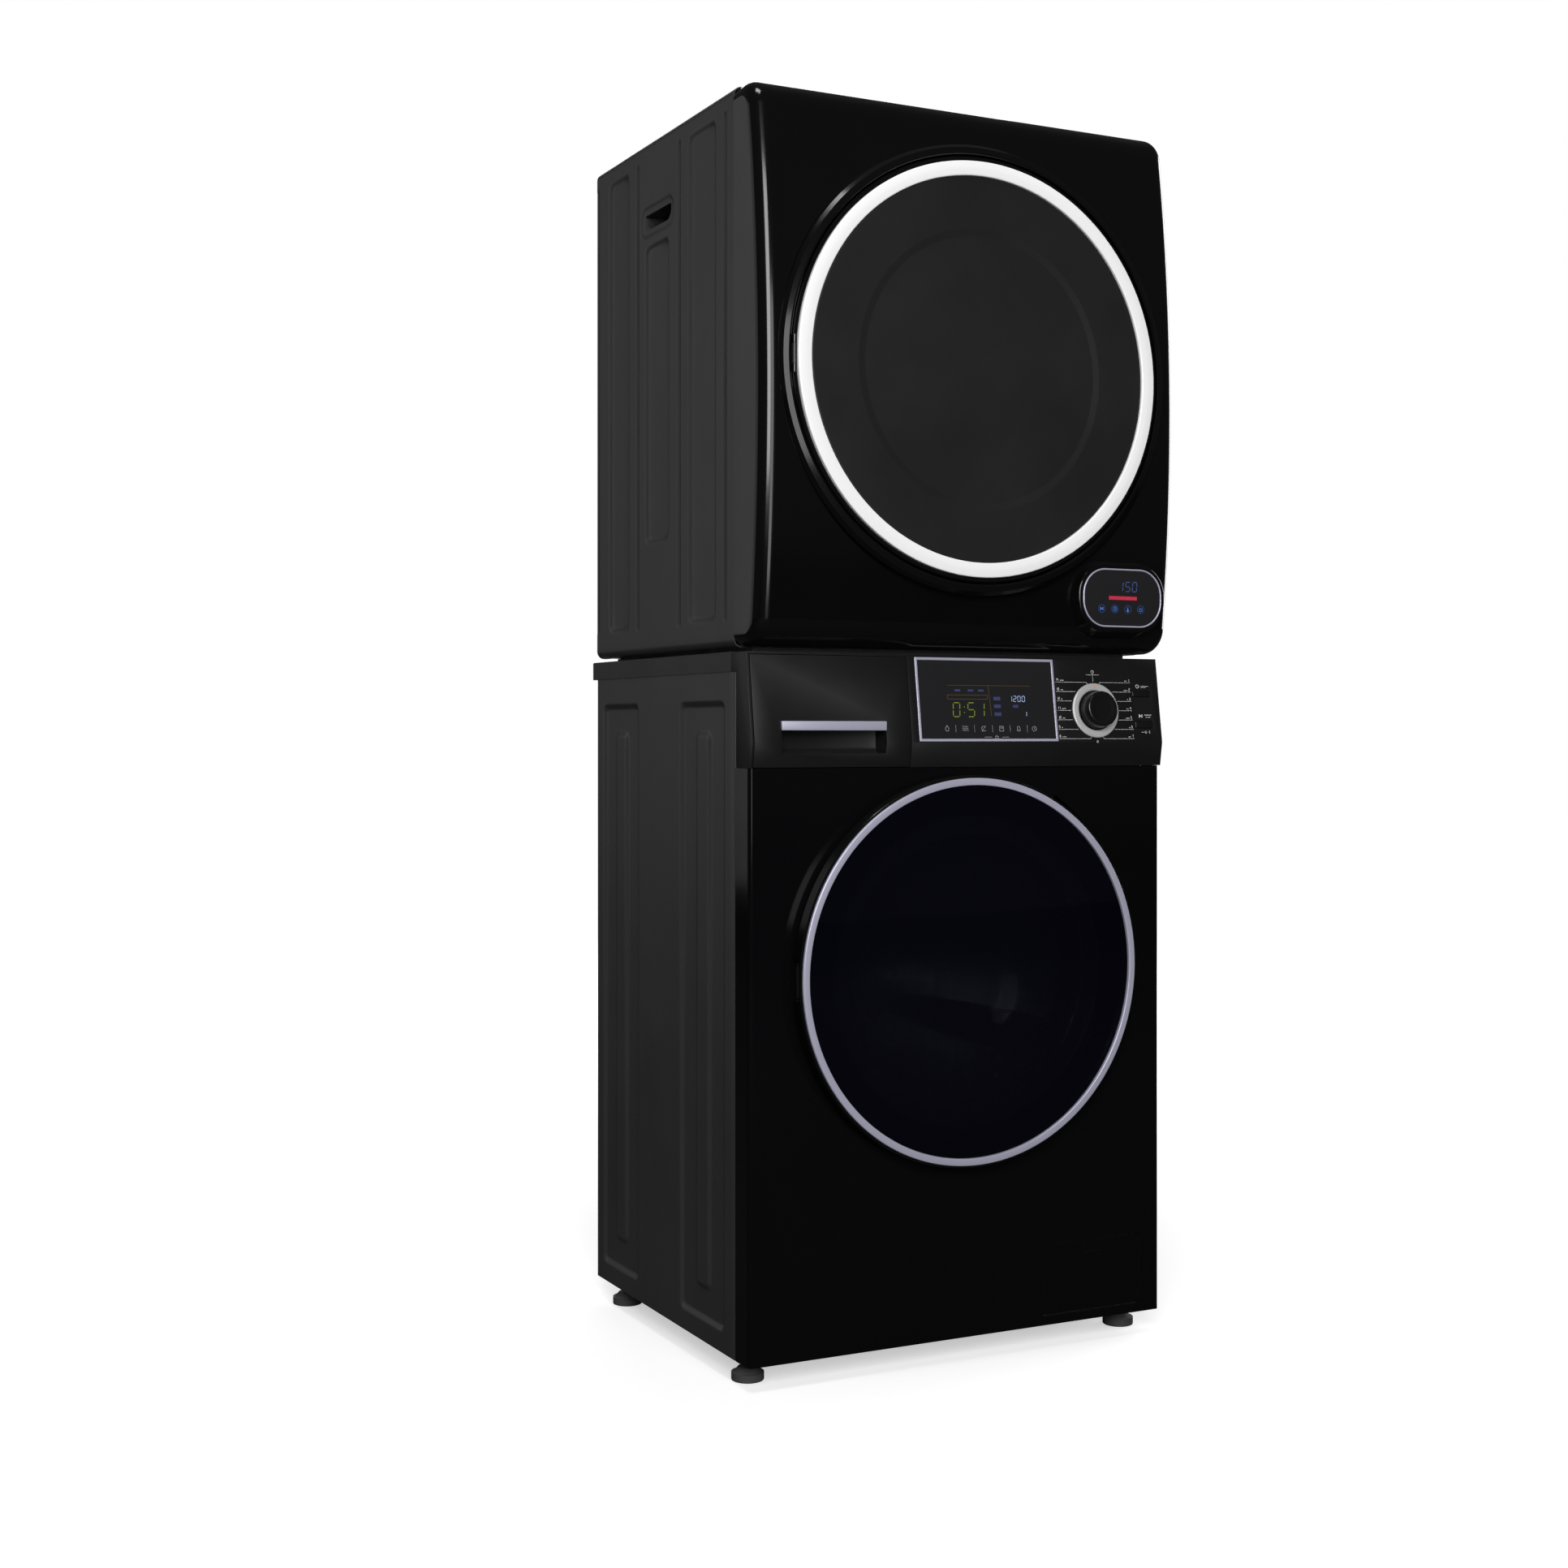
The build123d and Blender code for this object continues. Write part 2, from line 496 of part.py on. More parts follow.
def build_tub():
    points = [(188.2, 34), (191.5, 34), (191.5, tub_front - 3), (250, tub_front), (250, tub_rear),
              (64, tub_rear + 4), (60, 430), (29, 430), (29, 418), (40, 418), (40, 414), (31, 414), (31, 398),
              (28, 398), (28, tub_rear - 2), (247, tub_rear - 4), (247, tub_front + 4), (188.2, tub_front)]
    tub = turned(points, 0, washer_axis_z)
    tub += block(-60, 60, 150, 300, washer_axis_z - 262, washer_axis_z - 248.5)
    for side in (-1, 1):
        lug_x, lug_z = around(90 - side * 40, 250, 0, washer_axis_z)
        tub += block(lug_x - 9, lug_x + 9, 320, 340, lug_z - 10, lug_z + 12)
        tub += block(side * 130 - 12, side * 130 + 12, 205, 225, washer_axis_z - 232, washer_axis_z - 208)
    tub -= rod_y(247, tub_front + 4, tub_rear - 4, 0, washer_axis_z)
    parts["outer_tub"] = tub

    drum = turned([(washer_drum_r, 66), (washer_drum_r, drum_back), (15, drum_back), (15, drum_back - 1.2),
                   (washer_drum_r - 1.2, drum_back - 1.2), (washer_drum_r - 1.2, 67.2), (188, 61.2),
                   (186, 61.2), (186, 72), (184.8, 72), (184.8, 60), (188.5, 60)], 0, washer_axis_z)
    for ring_depth in (150, 218, 286):
        drum += tube_y(washer_drum_r + 1.6, washer_drum_r - 0.2, ring_depth, ring_depth + 6, 0, washer_axis_z)
    parts["washer_drum"] = drum

    paddles = []
    for angle in (90, 210, 330):
        vane = Polyline((washer_drum_r - 50, -9), (washer_drum_r - 50, 9), (washer_drum_r, 30),
                        (washer_drum_r, -30), close=True)
        plane = Plane(origin=(0, y_at(340), washer_axis_z), x_dir=(1, 0, 0), z_dir=(0, -1, 0))
        bar = extrude(plane * Rot(0, 0, angle) * make_face(vane), amount=245)
        paddles.append(bar & rod_y(washer_drum_r - 1.25, 80, 350, 0, washer_axis_z))
    parts["drum_paddles"] = Compound(paddles)

    spider = rod_y(42, drum_back + 0.1, drum_back + 18, 0, washer_axis_z)
    for angle in (30, 150, 270):
        arm = block(30, 214, drum_back + 0.1, drum_back + 13, washer_axis_z - 16, washer_axis_z + 16)
        spider += arm.rotate(Axis((0, 0, washer_axis_z), (0, 1, 0)), -angle)
    spider += rod_y(15, drum_back + 10, 455, 0, washer_axis_z)
    parts["drum_spider"] = spider
    bearings = [tube_y(30.9, 15.05, 398.2, 413.8, 0, washer_axis_z),
                tube_y(28.9, 15.05, 418.2, 429.8, 0, washer_axis_z)]
    parts["tub_bearings"] = Compound(bearings)

    pulley = tube_y(drum_pulley_r, drum_pulley_r - 12, 438, 454, 0, washer_axis_z)
    pulley += tube_y(26, 15, 436, 455, 0, washer_axis_z)
    for angle in range(0, 360, 60):
        spoke = block(22, drum_pulley_r - 10, 442, 450, washer_axis_z - 9, washer_axis_z + 9)
        pulley += spoke.rotate(Axis((0, 0, washer_axis_z), (0, 1, 0)), angle)
    parts["drum_pulley"] = pulley - rod_y(15, 430, 460, 0, washer_axis_z)

    x = washer_motor_x
    z = washer_motor_z
    motor = rod_y(58, 296, 418, x, z) + rod_y(46, 290, 424, x, z)
    motor += block(x - 40, x + 40, 310, 330, z + 40, z + 84) + block(x - 40, x + 40, 384, 404, z + 40, z + 84)
    motor -= rod_y(251, 280, 430, 0, washer_axis_z)
    parts["washer_motor"] = motor - rod_y(6.6, 410, 430, x, z)
    parts["washer_motor_pulley"] = rod_y(motor_pulley_r, 438, 454, x, z) + rod_y(6, 414, 456, x, z)
    parts["washer_belt"] = belt((0, washer_axis_z), drum_pulley_r, (x, z), motor_pulley_r, 3, 440, 452)


def spring_body(top, bottom, radius):
    """A close-wound coil spring, drawn as a stack of round turns on a thin core."""
    a = Vector(*top)
    b = Vector(*bottom)
    length = (b - a).length
    turns = 16
    pitch = length / turns
    points = [(radius - pitch * 0.45, 0)]
    for turn in range(turns):
        points.append((radius, (turn + 0.5) * pitch))
        points.append((radius - pitch * 0.45, (turn + 1) * pitch))
    outline = make_face(Polyline(*(points + [(radius - 5, length), (radius - 5, 0)]), close=True))
    coil = revolve(outline, Axis.Y)
    return Plane(origin=a, z_dir=b - a) * Rot(90, 0, 0) * coil


def build_suspension():
    pieces = []
    for side in (-1, 1):
        lug_x, lug_z = around(90 - side * 40, 250, 0, washer_axis_z)
        top = (side * 215, y_at(332), 812)
        low = (lug_x * 1.02, y_at(330), lug_z + 24)
        pieces.append(spring_body(top, low, 10))
        foot = (side * 232, y_at(255), 64)
        head = (side * 147, y_at(235), washer_axis_z - 240)
        a = Vector(*foot)
        b = Vector(*head)
        middle = a + (b - a) * 0.6
        pieces.append(strut(foot, (middle.X, middle.Y, middle.Z), 17) + strut(foot, head, 6))
    parts["tub_suspension"] = Compound(pieces)

    weight = tube_y(251, 207, 23, 45, 0, washer_axis_z)
    weight -= block(-110, 110, 20, 50, 100, washer_axis_z - 150)
    parts["counterweight"] = weight
    bellows = [(198.6, 3), (198.6, 15), (192, 21), (187.9, 33), (187.9, 46), (185.6, 46), (185.6, 32),
               (188.5, 20), (174, 13.4), (171.5, 12), (172, 9.6), (194.5, 8.5), (195.5, 3)]
    parts["door_gasket"] = turned(bellows, 0, washer_axis_z)


def build_pump():
    x = hatch_x
    z = hatch_bottom + 46
    body = tube_y(34, 27.6, 34, 120, x, z) + rod_y(34, 118, 160, x, z)
    body += block(x - 30, x + 30, 60, 150, 62.2, z - 20)
    body -= rod_y(27.6, 30, 120, x, z)
    parts["drain_pump"] = body
    cap = rod_y(27, 34.5, 70, x, z) + rod_y(32, 26, 33.5, x, z)
    cap += rod_y(27, 33, 35, x, z) + block(x - 28, x + 28, 10, 27, z - 4, z + 4)
    parts["pump_filter_cap"] = cap


# ---------------------------------------------------------------- washer door
def sphere_cut(radius, crown, top, x):
    """Depth of a shallow spherical face at a distance from its axis, from the depth of its top."""
    ball = (radius ** 2 + crown ** 2) / (2 * crown)
    return top + ball - math.sqrt(ball ** 2 - x ** 2)


def glass_disc(radius, rim, crown, thickness):
    """A bulged disc of even thickness, whose rim runs straight back."""
    top = rim - crown
    inner_r = radius - 3.5
    outer_mid = (radius / 2, sphere_cut(radius, crown, top, radius / 2))
    inner_mid = (inner_r / 2, sphere_cut(radius, crown, top + thickness, inner_r / 2))
    inner_rim = sphere_cut(radius, crown, top + thickness, inner_r)
    face_arc = ThreePointArc((0, top), outer_mid, (radius, rim))
    back = rim + thickness
    edge = Polyline((radius, rim), (radius, back), (inner_r, back), (inner_r, inner_rim))
    back_arc = ThreePointArc((inner_r, inner_rim), inner_mid, (0, top + thickness))
    axis_line = Line((0, top + thickness), (0, top))
    return turned_edges([face_arc, *edge.edges(), back_arc, axis_line], 0, washer_axis_z)


def build_washer_door():
    r = washer_frame_r
    frame = turned([(180, -3), (234, -3), (r, -9), (r, -24.8), (r - 1.2, -26), (240.1, -26), (240.1, -24),
                    (230.2, -24), (230.2, -21), (196, -21), (196, -8), (180, -8)], 0, washer_axis_z)
    pocket = 24.0
    z = washer_axis_z
    x = washer_pin_x
    frame -= block(-250, x + 7, -21.2, 0, z - pocket, z + pocket)
    frame -= block(-250, x - 4, -23.4, 0, z - pocket, z + pocket)
    pin = Pos(x, y_at(washer_pin_depth), z) * Cylinder(washer_pin_r, 2 * pocket + 10)
    hook = block(222, 226, -4, 21, z - 9, z + 9) - block(221, 227, 10, 17, z - 5, z + 5)
    parts["washer_door_frame"] = frame + pin + hook
    parts["washer_door_ring"] = turned([(230.3, -24.1), (washer_ring_r, -24.1), (washer_ring_r, -27.2),
                                        (washer_ring_r - 1.4, -28.6), (231.4, -28.6), (230.3, -27.6)], 0, z)
    parts["washer_door_glass"] = glass_disc(229.9, -25.6, 10.5, 4.4)
    bowl = [(195.8, -12), (195.8, -8.1), (172, -8.1), (168, 10), (152, 46), (128, 70), (104, 78), (0, 80),
            (0, 76), (102, 74), (125, 66.5), (148, 43), (164, 9), (168, -12)]
    parts["washer_door_bowl"] = turned(bowl, 0, z)


def build_hinges_and_locks():
    z = washer_axis_z
    x = washer_pin_x
    low = 20.0
    washer_hinge = block(x - 2, x + 2, washer_pin_depth, 2, z - low, z + low)
    washer_hinge += block(x - 20, x + 16, sheet + 0.1, 4, z - 40, z + 40)
    washer_hinge += Pos(x, y_at(washer_pin_depth), z) * Cylinder(4, 2 * low)
    washer_hinge -= Pos(x, y_at(washer_pin_depth), z) * Cylinder(washer_pin_r + pin_clearance, 200)
    z = dryer_axis_z
    x = dryer_pin_x
    low = dryer_knuckle / 2
    dryer_hinge = block(x - barrel_r, x + 0.5, dryer_pin_depth, -8, z - low, z + low)
    dryer_hinge += block(x - 10, x + 14, -8.6, well_depth - 0.1, z - 30, z + 30)
    dryer_hinge += Pos(x, y_at(dryer_pin_depth), z) * Cylinder(barrel_r, dryer_knuckle)
    dryer_hinge -= Pos(x, y_at(dryer_pin_depth), z) * Cylinder(dryer_pin_r + pin_clearance, 200)
    parts["door_hinges"] = Compound([washer_hinge, dryer_hinge])
    z = washer_axis_z
    washer_lock = block(206, 244, sheet + 0.1, 20, z - 32, z + 32)
    washer_lock -= block(214, 236, -2, 30, z - 14, z + 14)
    z = dryer_axis_z
    dryer_catch = block(214, 248, -3.4, 12, z - 24, z + 24) - block(221, 242, -5, 14, z - 13, z + 13)
    parts["door_locks"] = Compound([washer_lock, dryer_catch])


# ---------------------------------------------------------------- dryer front and door
def fascia_body(inset, back):
    """The bowed front moulding as a solid, drawn in by the inset."""
    low = dryer_bottom + inset
    high = overall_height - inset
    radius = belly_radius - inset
    front = -belly_ahead + inset

    def bow(z):
        return front + radius - math.sqrt(radius ** 2 - (z - belly_z) ** 2)

    bow_arc = ThreePointArc((0, y_at(bow(low)), low), (0, y_at(front), belly_z), (0, y_at(bow(high)), high))
    sides = Polyline((0, y_at(bow(high)), high), (0, y_at(back), high), (0, y_at(back), low),
                     (0, y_at(bow(low)), low))
    outline = make_face([*bow_arc.edges(), *sides.edges()])
    corners = [v for v in outline.vertices() if v.Y < y_at(back) - 5]
    outline = fillet(corners, 36 - inset)
    half = half_width - 0.3 - inset
    solid = extrude(Pos(-half, 0, 0) * outline, amount=2 * half, dir=(1, 0, 0))
    sides = [e for e in solid.edges() if abs(abs(e.center().X) - half) < 0.01]
    chain = [e for e in sides if e.center().Y < y_at(back) - 1]
    return fillet(chain, 18 - inset)



def build_dryer_front():
    wall = 2.6
    outer = fascia_body(0, dryer_seam)
    shell = outer - fascia_body(wall, dryer_seam + 10)
    shell -= rod_y(collar_r + 4, -60, 30, 0, dryer_axis_z)
    collar = turned([(collar_r, -43), (collar_r + 1, -44), (collar_r + 3, -44), (collar_r + 9, -42),
                     (collar_r + 13, -37), (collar_r + 14, -30), (collar_r + 14, well_depth + 2.5),
                     (throat_r + 1.8, well_depth + 2.5), (throat_r + 1.8, well_depth),
                     (collar_r + 8, well_depth), (collar_r + 8, -36), (collar_r, -39)], 0, dryer_axis_z)
    collar -= block(222, 241, -10, 0, dryer_axis_z - 12, dryer_axis_z + 12)
    fascia = shell + collar
    pod_hole = extrude(Plane(origin=(pod_x, y_at(0), pod_z), x_dir=(1, 0, 0), z_dir=(0, -1, 0))
                       * RectangleRounded(100, 56, 27), amount=60)
    keep_out = rod_y(collar_r + 14, -60, 60, 0, dryer_axis_z)
    fascia -= pod_hole - keep_out
    parts["dryer_fascia"] = fascia

    base = Plane(origin=(pod_x, y_at(0), pod_z), x_dir=(1, 0, 0), z_dir=(0, -1, 0))
    pod = extrude(base * RectangleRounded(160, 114, 54), amount=39, taper=20)
    pod = fillet(pod.faces().sort_by(Axis.Y)[0].edges(), 3)
    pod = pod - outer - rod_y(collar_r + 14.2, -60, 60, 0, dryer_axis_z)
    seat = base.offset(37.4)
    ring_outer = RectangleRounded(121, 75, 34)
    ring_inner = RectangleRounded(114, 68, 30.5)
    pod -= extrude(seat * ring_outer, amount=5)
    parts["control_pod"] = pod
    parts["pod_ring"] = extrude(seat * (ring_outer - ring_inner), amount=3.0)
    parts["pod_window"] = extrude(seat * ring_inner, amount=2.0)


def build_dryer_door():
    z = dryer_axis_z
    outline = [(dryer_rim_r, -41.5), (259.9, -43), (256, -43), (256, -40), (230, -40), (230, -37),
               (257.3, -37), (256.4, -16.5), (183.5, -16.5), (183.5, 19.5), (0, 19.5), (0, 22), (184, 22),
               (186, 20), (186, -14), (259.8, -14)]
    liner = turned(outline, 0, z)
    x = dryer_pin_x
    pocket = dryer_knuckle / 2 + 0.6
    liner -= block(-270, x + 5.6, -50, -10, z - pocket, z + pocket)
    barrel = 10.0
    for side in (-1, 1):
        liner += Pos(x, y_at(dryer_pin_depth), z + side * (pocket + barrel / 2)) * Cylinder(barrel_r, barrel)
    pin = Pos(x, y_at(dryer_pin_depth), z) * Cylinder(dryer_pin_r, 2 * (pocket + barrel))
    hook = block(228, 232, -15, 9, z - 8, z + 8) - block(227, 233, 1, 6, z - 4, z + 4)
    parts["dryer_door_liner"] = liner + pin + hook
    ring_in = 237.0
    ring_mid = (dryer_ring_r + ring_in) / 2
    crown = ThreePointArc((dryer_ring_r, -44.5), (ring_mid, -door_stand_out), (ring_in, -44.5))
    rest = Polyline((ring_in, -44.5), (ring_in, -40.05), (dryer_ring_r, -40.05), (dryer_ring_r, -44.5))
    parts["dryer_door_ring"] = turned_edges([*crown.edges(), *rest.edges()], 0, z)
    disc = [(0, -38.4), (229.6, -38.4), (229.6, -40.05), (236.7, -40.05), (236.7, -43.6), (235.4, -44.6),
            (172, -43.6), (163, -42.2), (0, -41.8)]
    parts["dryer_door_disc"] = turned(disc, 0, z)


# ---------------------------------------------------------------- dryer inside
def build_dryer_inside():
    x = body_half - sheet - 0.5
    z = dryer_axis_z
    low = dryer_bottom + sheet + 0.2
    pan = block(-x + 14, x - 14, 45, rear_panel_depth - 1, dryer_bottom + 0.05, low + 8)
    pan -= block(-x + 15.5, x - 15.5, 46.5, rear_panel_depth - 2.5, low + 1, low + 20)
    bulkhead = block(-x + 14, x - 14, 44, 45.3, dryer_bottom + 0.05, overall_height - 14)
    bulkhead -= rod_y(throat_r + 0.6, 30, 60, 0, z)
    throat = turned([(throat_r, -3), (throat_r + 1.2, -3), (throat_r + 1.2, 44.2), (throat_r, 44.2)], 0, z)
    seat = turned([(238.8, 45), (240, 45), (240, 60), (238.8, 60)], 0, z)
    # pocket below the door opening that holds the lint filter
    slot = block(-96, 96, 26, 45, 944, 1052) - block(-93, 93, 28, 42, 946, 1060)
    throat -= block(-94, 94, 27, 43, 960, 1080)
    bulkhead = bulkhead + throat + seat + slot
    bulkhead -= block(-93, 93, 28, 42, 946, 1056)
    parts["dryer_chassis"] = pan + bulkhead
    lint = block(-91, 91, 29, 41, 947, 1030) - block(-84, 84, 26, 45, 954, 1014)
    lint += block(-84.5, 84.5, 34.6, 35.4, 953.5, 1014.5)
    lint += block(-30, 30, 29, 41, 1029, 1033)
    parts["lint_filter"] = lint

    drum_in = dryer_drum_r - 1.2
    drum = turned([(dryer_drum_r, 57), (dryer_drum_r, 420), (10, 420), (10, 418.8), (drum_in, 418.8),
                   (drum_in, 58.2), (243.2, 58.2), (243.2, 57)], 0, z)
    for angle in (30, 150, 270):
        outline = make_face(Polyline((222, -10), (222, 10), (267.4, 34), (267.4, -34), close=True))
        plane = Plane(origin=(0, y_at(404), z), x_dir=(1, 0, 0), z_dir=(0, -1, 0))
        vane = extrude(plane * Rot(0, 0, angle) * outline, amount=330)
        drum += vane & rod_y(dryer_drum_r - 0.6, 60, 415, 0, z)
    drum += rod_y(45, 419.5, 426, 0, z) + rod_y(10, 400, 466, 0, z) - rod_y(60, 380, 418.8, 0, z)
    parts["dryer_drum"] = drum
    mx = dryer_motor_x
    mz = dryer_motor_z
    parts["dryer_belt"] = belt((0, z), dryer_drum_r, (mx, mz), dryer_pulley_r, 2, 240, 248)

    motor = rod_y(44, 262, 350, mx, mz) - rod_y(6.6, 250, 360, mx, mz)
    motor += block(mx - 34, mx + 34, 280, 332, low + 1.02, mz - 30) - rod_y(30, 250, 360, mx, mz)
    parts["dryer_motor"] = motor
    wheel = rod_y(6, 232, 414, mx, mz) + rod_y(dryer_pulley_r, 238, 250, mx, mz)
    wheel += rod_y(46, 410, 413, mx, mz)
    for angle in range(0, 360, 20):
        blade = block(mx + 34, mx + 45, 374, 411, mz - 0.8, mz + 0.8)
        wheel += blade.rotate(Axis((mx, 0, mz), (0, 1, 0)), angle)
    parts["blower_wheel"] = wheel

    duct = tube_y(56, 54, 366, 422, mx, mz) + rod_y(56, 420, 422, mx, mz)
    duct += tube_y(56, 40, 366, 368, mx, mz)
    outlet = block(50, mx - 30, 372, 424, low + 6, 958) - block(52, mx - 20, 374, 430, low + 8, 956)
    outlet -= rod_y(55, 360, 430, mx, mz)
    duct = duct + outlet - block(120, mx - 40, 374, 419, low + 10, 954)
    flange = tube_y(56, spigot_r - 1.5, 424, 426, spigot_x, spigot_z)
    flange &= block(40, 175, 420, 430, low + 1, 1020)
    free_end = cabinet_depth + plate_overhang - 1
    duct += flange + tube_y(spigot_r + 2, spigot_r - 1.5, 424, rear_panel_depth + sheet, spigot_x, spigot_z)
    duct += tube_y(spigot_r, spigot_r - 1.5, rear_panel_depth, free_end, spigot_x, spigot_z)
    parts["exhaust_duct"] = duct

    heater = block(-192, -62, 430, rear_panel_depth - 0.1, z - 80, z + 90)
    heater -= block(-190, -64, 429, rear_panel_depth - 2, z - 78, z + 88)
    for row in range(5):
        bar_z = z - 60 + row * 32
        heater += Pos(-127, y_at(448), bar_z) * Rot(0, 90, 0) * Cylinder(4, 126.4)
    parts["heater"] = heater

    edge = x - 2.5
    rear_top = overall_height - sheet - 3.5
    rear = block(-edge, edge, rear_panel_depth, rear_panel_depth + sheet, low + 3, rear_top)
    rear -= rod_y(spigot_r + 2.6, rear_panel_depth - 3, rear_panel_depth + 4, spigot_x, spigot_z)
    rear -= rod_y(9.1, rear_panel_depth - 3, rear_panel_depth + 4, -225, 935)
    rear += rod_y(24, rear_panel_depth - 18, rear_panel_depth + 1, 0, z) - rod_y(10.05, 430, 467.5, 0, z)
    for row in range(6):
        slot_z = 1010 + row * 12
        rear -= block(-235, -165, rear_panel_depth - 3, rear_panel_depth + 4, slot_z, slot_z + 5)
    parts["dryer_rear_panel"] = rear
    frame = block(-272, 272, 44, 476, plate_top + 0.02, dryer_bottom - 0.02)
    frame -= block(-232, 232, 84, 436, plate_top - 1, dryer_bottom + 1)
    parts["stacking_frame"] = frame


def build_screws():
    """Rear panel screws of both machines, each in its own hole."""
    head_depth = rear_panel_depth + 2 * sheet
    screws = []
    spots = [(side * (body_half - 9), z) for side in (-1, 1) for z in (110, 290, 460, 640, 820)]
    spots += [(side * (body_half - 9), z) for side in (-1, 1) for z in (925, 1090, 1240, 1390, 1530)]
    holes = Compound([rod_y(2.1, rear_panel_depth - 3, head_depth + 2, x, z) for x, z in spots])
    for x, z in spots:
        shank = rod_y(2.0, rear_panel_depth - 6, head_depth + 1, x, z)
        screws.append(shank + rod_y(4.5, head_depth, head_depth + 2.2, x, z))
    for name in ("washer_side_left", "washer_side_right", "washer_rear_panel", "dryer_cabinet",
                 "dryer_rear_panel"):
        parts[name] = parts[name] - holes
    parts["screws"] = Compound(screws)


build_washer_sides()
build_dryer_cabinet()
build_washer_base()
build_washer_front()
build_washer_rear_and_top()
build_console()
build_drawer()
build_tub()
build_suspension()
build_pump()
build_washer_door()
build_hinges_and_locks()
build_dryer_front()
build_dryer_door()
build_dryer_inside()
build_screws()

os.makedirs("parts", exist_ok=True)
for name, shape in parts.items():
    shape.label = name
    export_step(shape, f"parts/{name}.step")
print(len(parts), "nodes")
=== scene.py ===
# %% [markdown]
# A laundry pair: a tumble dryer stands on a front-loading washer. Both are black. The fronts are glossy, the
# sides are satin sheet steel with pressed panels, and the round doors carry a white and a silver ring.
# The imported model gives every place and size. This script keeps the parts whose shape is already right, gives
# them a finish, and builds finer pieces for the surfaces that a visitor looks at first.

# %% Load the frame
import math

import bmesh
import bpy
from mathutils import Matrix, Vector


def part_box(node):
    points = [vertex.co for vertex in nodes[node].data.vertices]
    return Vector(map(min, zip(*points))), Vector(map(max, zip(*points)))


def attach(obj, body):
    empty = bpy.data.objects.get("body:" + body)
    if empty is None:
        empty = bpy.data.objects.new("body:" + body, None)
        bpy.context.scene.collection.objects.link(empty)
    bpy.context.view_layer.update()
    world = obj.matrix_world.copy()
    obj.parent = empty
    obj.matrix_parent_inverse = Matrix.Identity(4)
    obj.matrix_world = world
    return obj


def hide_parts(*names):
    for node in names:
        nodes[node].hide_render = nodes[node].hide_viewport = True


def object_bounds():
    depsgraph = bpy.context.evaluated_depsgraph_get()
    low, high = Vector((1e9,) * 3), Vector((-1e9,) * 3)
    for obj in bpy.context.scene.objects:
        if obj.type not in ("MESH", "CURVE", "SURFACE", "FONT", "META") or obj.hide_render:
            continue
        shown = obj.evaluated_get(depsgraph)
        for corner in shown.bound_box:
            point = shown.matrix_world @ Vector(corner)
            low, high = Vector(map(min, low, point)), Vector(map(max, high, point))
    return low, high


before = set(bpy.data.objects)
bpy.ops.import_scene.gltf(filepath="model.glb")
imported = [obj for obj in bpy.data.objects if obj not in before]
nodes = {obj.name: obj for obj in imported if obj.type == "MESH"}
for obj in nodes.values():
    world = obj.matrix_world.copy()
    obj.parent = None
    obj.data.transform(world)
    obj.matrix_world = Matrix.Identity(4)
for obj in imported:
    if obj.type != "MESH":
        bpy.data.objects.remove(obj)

scene = bpy.context.scene
mm = 0.001
tau = 2 * math.pi
cad_low, cad_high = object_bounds()
print("frame size in mm:", [round((b - a) / mm, 1) for a, b in zip(cad_low, cad_high)])

# %% [markdown]
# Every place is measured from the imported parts. Depth is counted backwards from the washer's steel front,
# because that is the plane a fitter would measure from. A piece is then drawn flat, as width, height and
# rise, and a placing matrix stands it up on the front, on a side wall or on the tilted face of the console.

# %% Places taken from the frame
def span(node):
    """Lowest and highest corner of a part, in millimetres."""
    low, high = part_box(node)
    return low / mm, high / mm


def middle(node):
    low, high = span(node)
    return (low + high) / 2


def size_of(node):
    low, high = span(node)
    return high - low


front_y = span("washer_front_panel")[0].y
wall_x = span("washer_side_right")[1].x
washer_z = middle("washer_door_ring").z
dryer_z = middle("dryer_door_ring").z
dial_x, dial_z = middle("program_knob").x, 813.0
print("front plane at", round(front_y, 1), "mm, half width", round(wall_x, 1), "mm")


def placed(origin, across, up, out):
    """A matrix that puts flat drawings, in millimetres, on a plane of the machine."""
    turn = Matrix((across, up, out)).transposed().to_4x4()
    return Matrix.Translation(Vector(origin) * mm) @ turn @ Matrix.Scale(mm, 4)


def on_front(x, z):
    """Upright plane at the washer's front: the third number is how far something stands ahead of it."""
    return placed((x, front_y, z), (1, 0, 0), (0, 0, 1), (0, -1, 0))


crease_depth, crease_z = -7.5, 772.0
console_low, console_high = span("console")
facet_top_depth, facet_top_z = 7.5, console_high.z
lean = math.atan2(facet_top_depth - crease_depth, facet_top_z - crease_z)


def facet_depth(z):
    """Depth of the console's tilted face, at a height measured upright."""
    return crease_depth + (z - crease_z) * math.tan(lean)


def on_console(x, z):
    """The plane of the console's tilted face."""
    return placed((x, front_y + facet_depth(z), z), (1, 0, 0), (0, math.sin(lean), math.cos(lean)),
                  (0, -math.cos(lean), math.sin(lean)))

# %% [markdown]
# Finishes are small node trees. Grain, lighter edges (rubbed, and partly a painted highlight) and dust are
# shared effects, so each is one node group with its own inputs, built once; the grain also gives brushing and
# the faint ripple of sprayed paint. The groups only hand out masks and heights, and the shader itself stays in
# the material, where an exporter can find it.

# %% Node helpers
def feed(tree, node, values):
    """Fill a node's inputs with values, or with the outputs of other nodes."""
    for socket, value in values.items():
        if isinstance(value, bpy.types.NodeSocket):
            tree.links.new(value, node.inputs[socket])
        else:
            node.inputs[socket].default_value = value


def add(tree, kind, feeds=None, **settings):
    """Add a node, set its options and fill its inputs."""
    made = tree.nodes.new("ShaderNode" + kind)
    for option, value in settings.items():
        setattr(made, option, value)
    feed(tree, made, feeds or {})
    return made


def maths(tree, operation, first, second, **settings):
    return add(tree, "Math", {0: first, 1: second}, operation=operation, **settings).outputs[0]


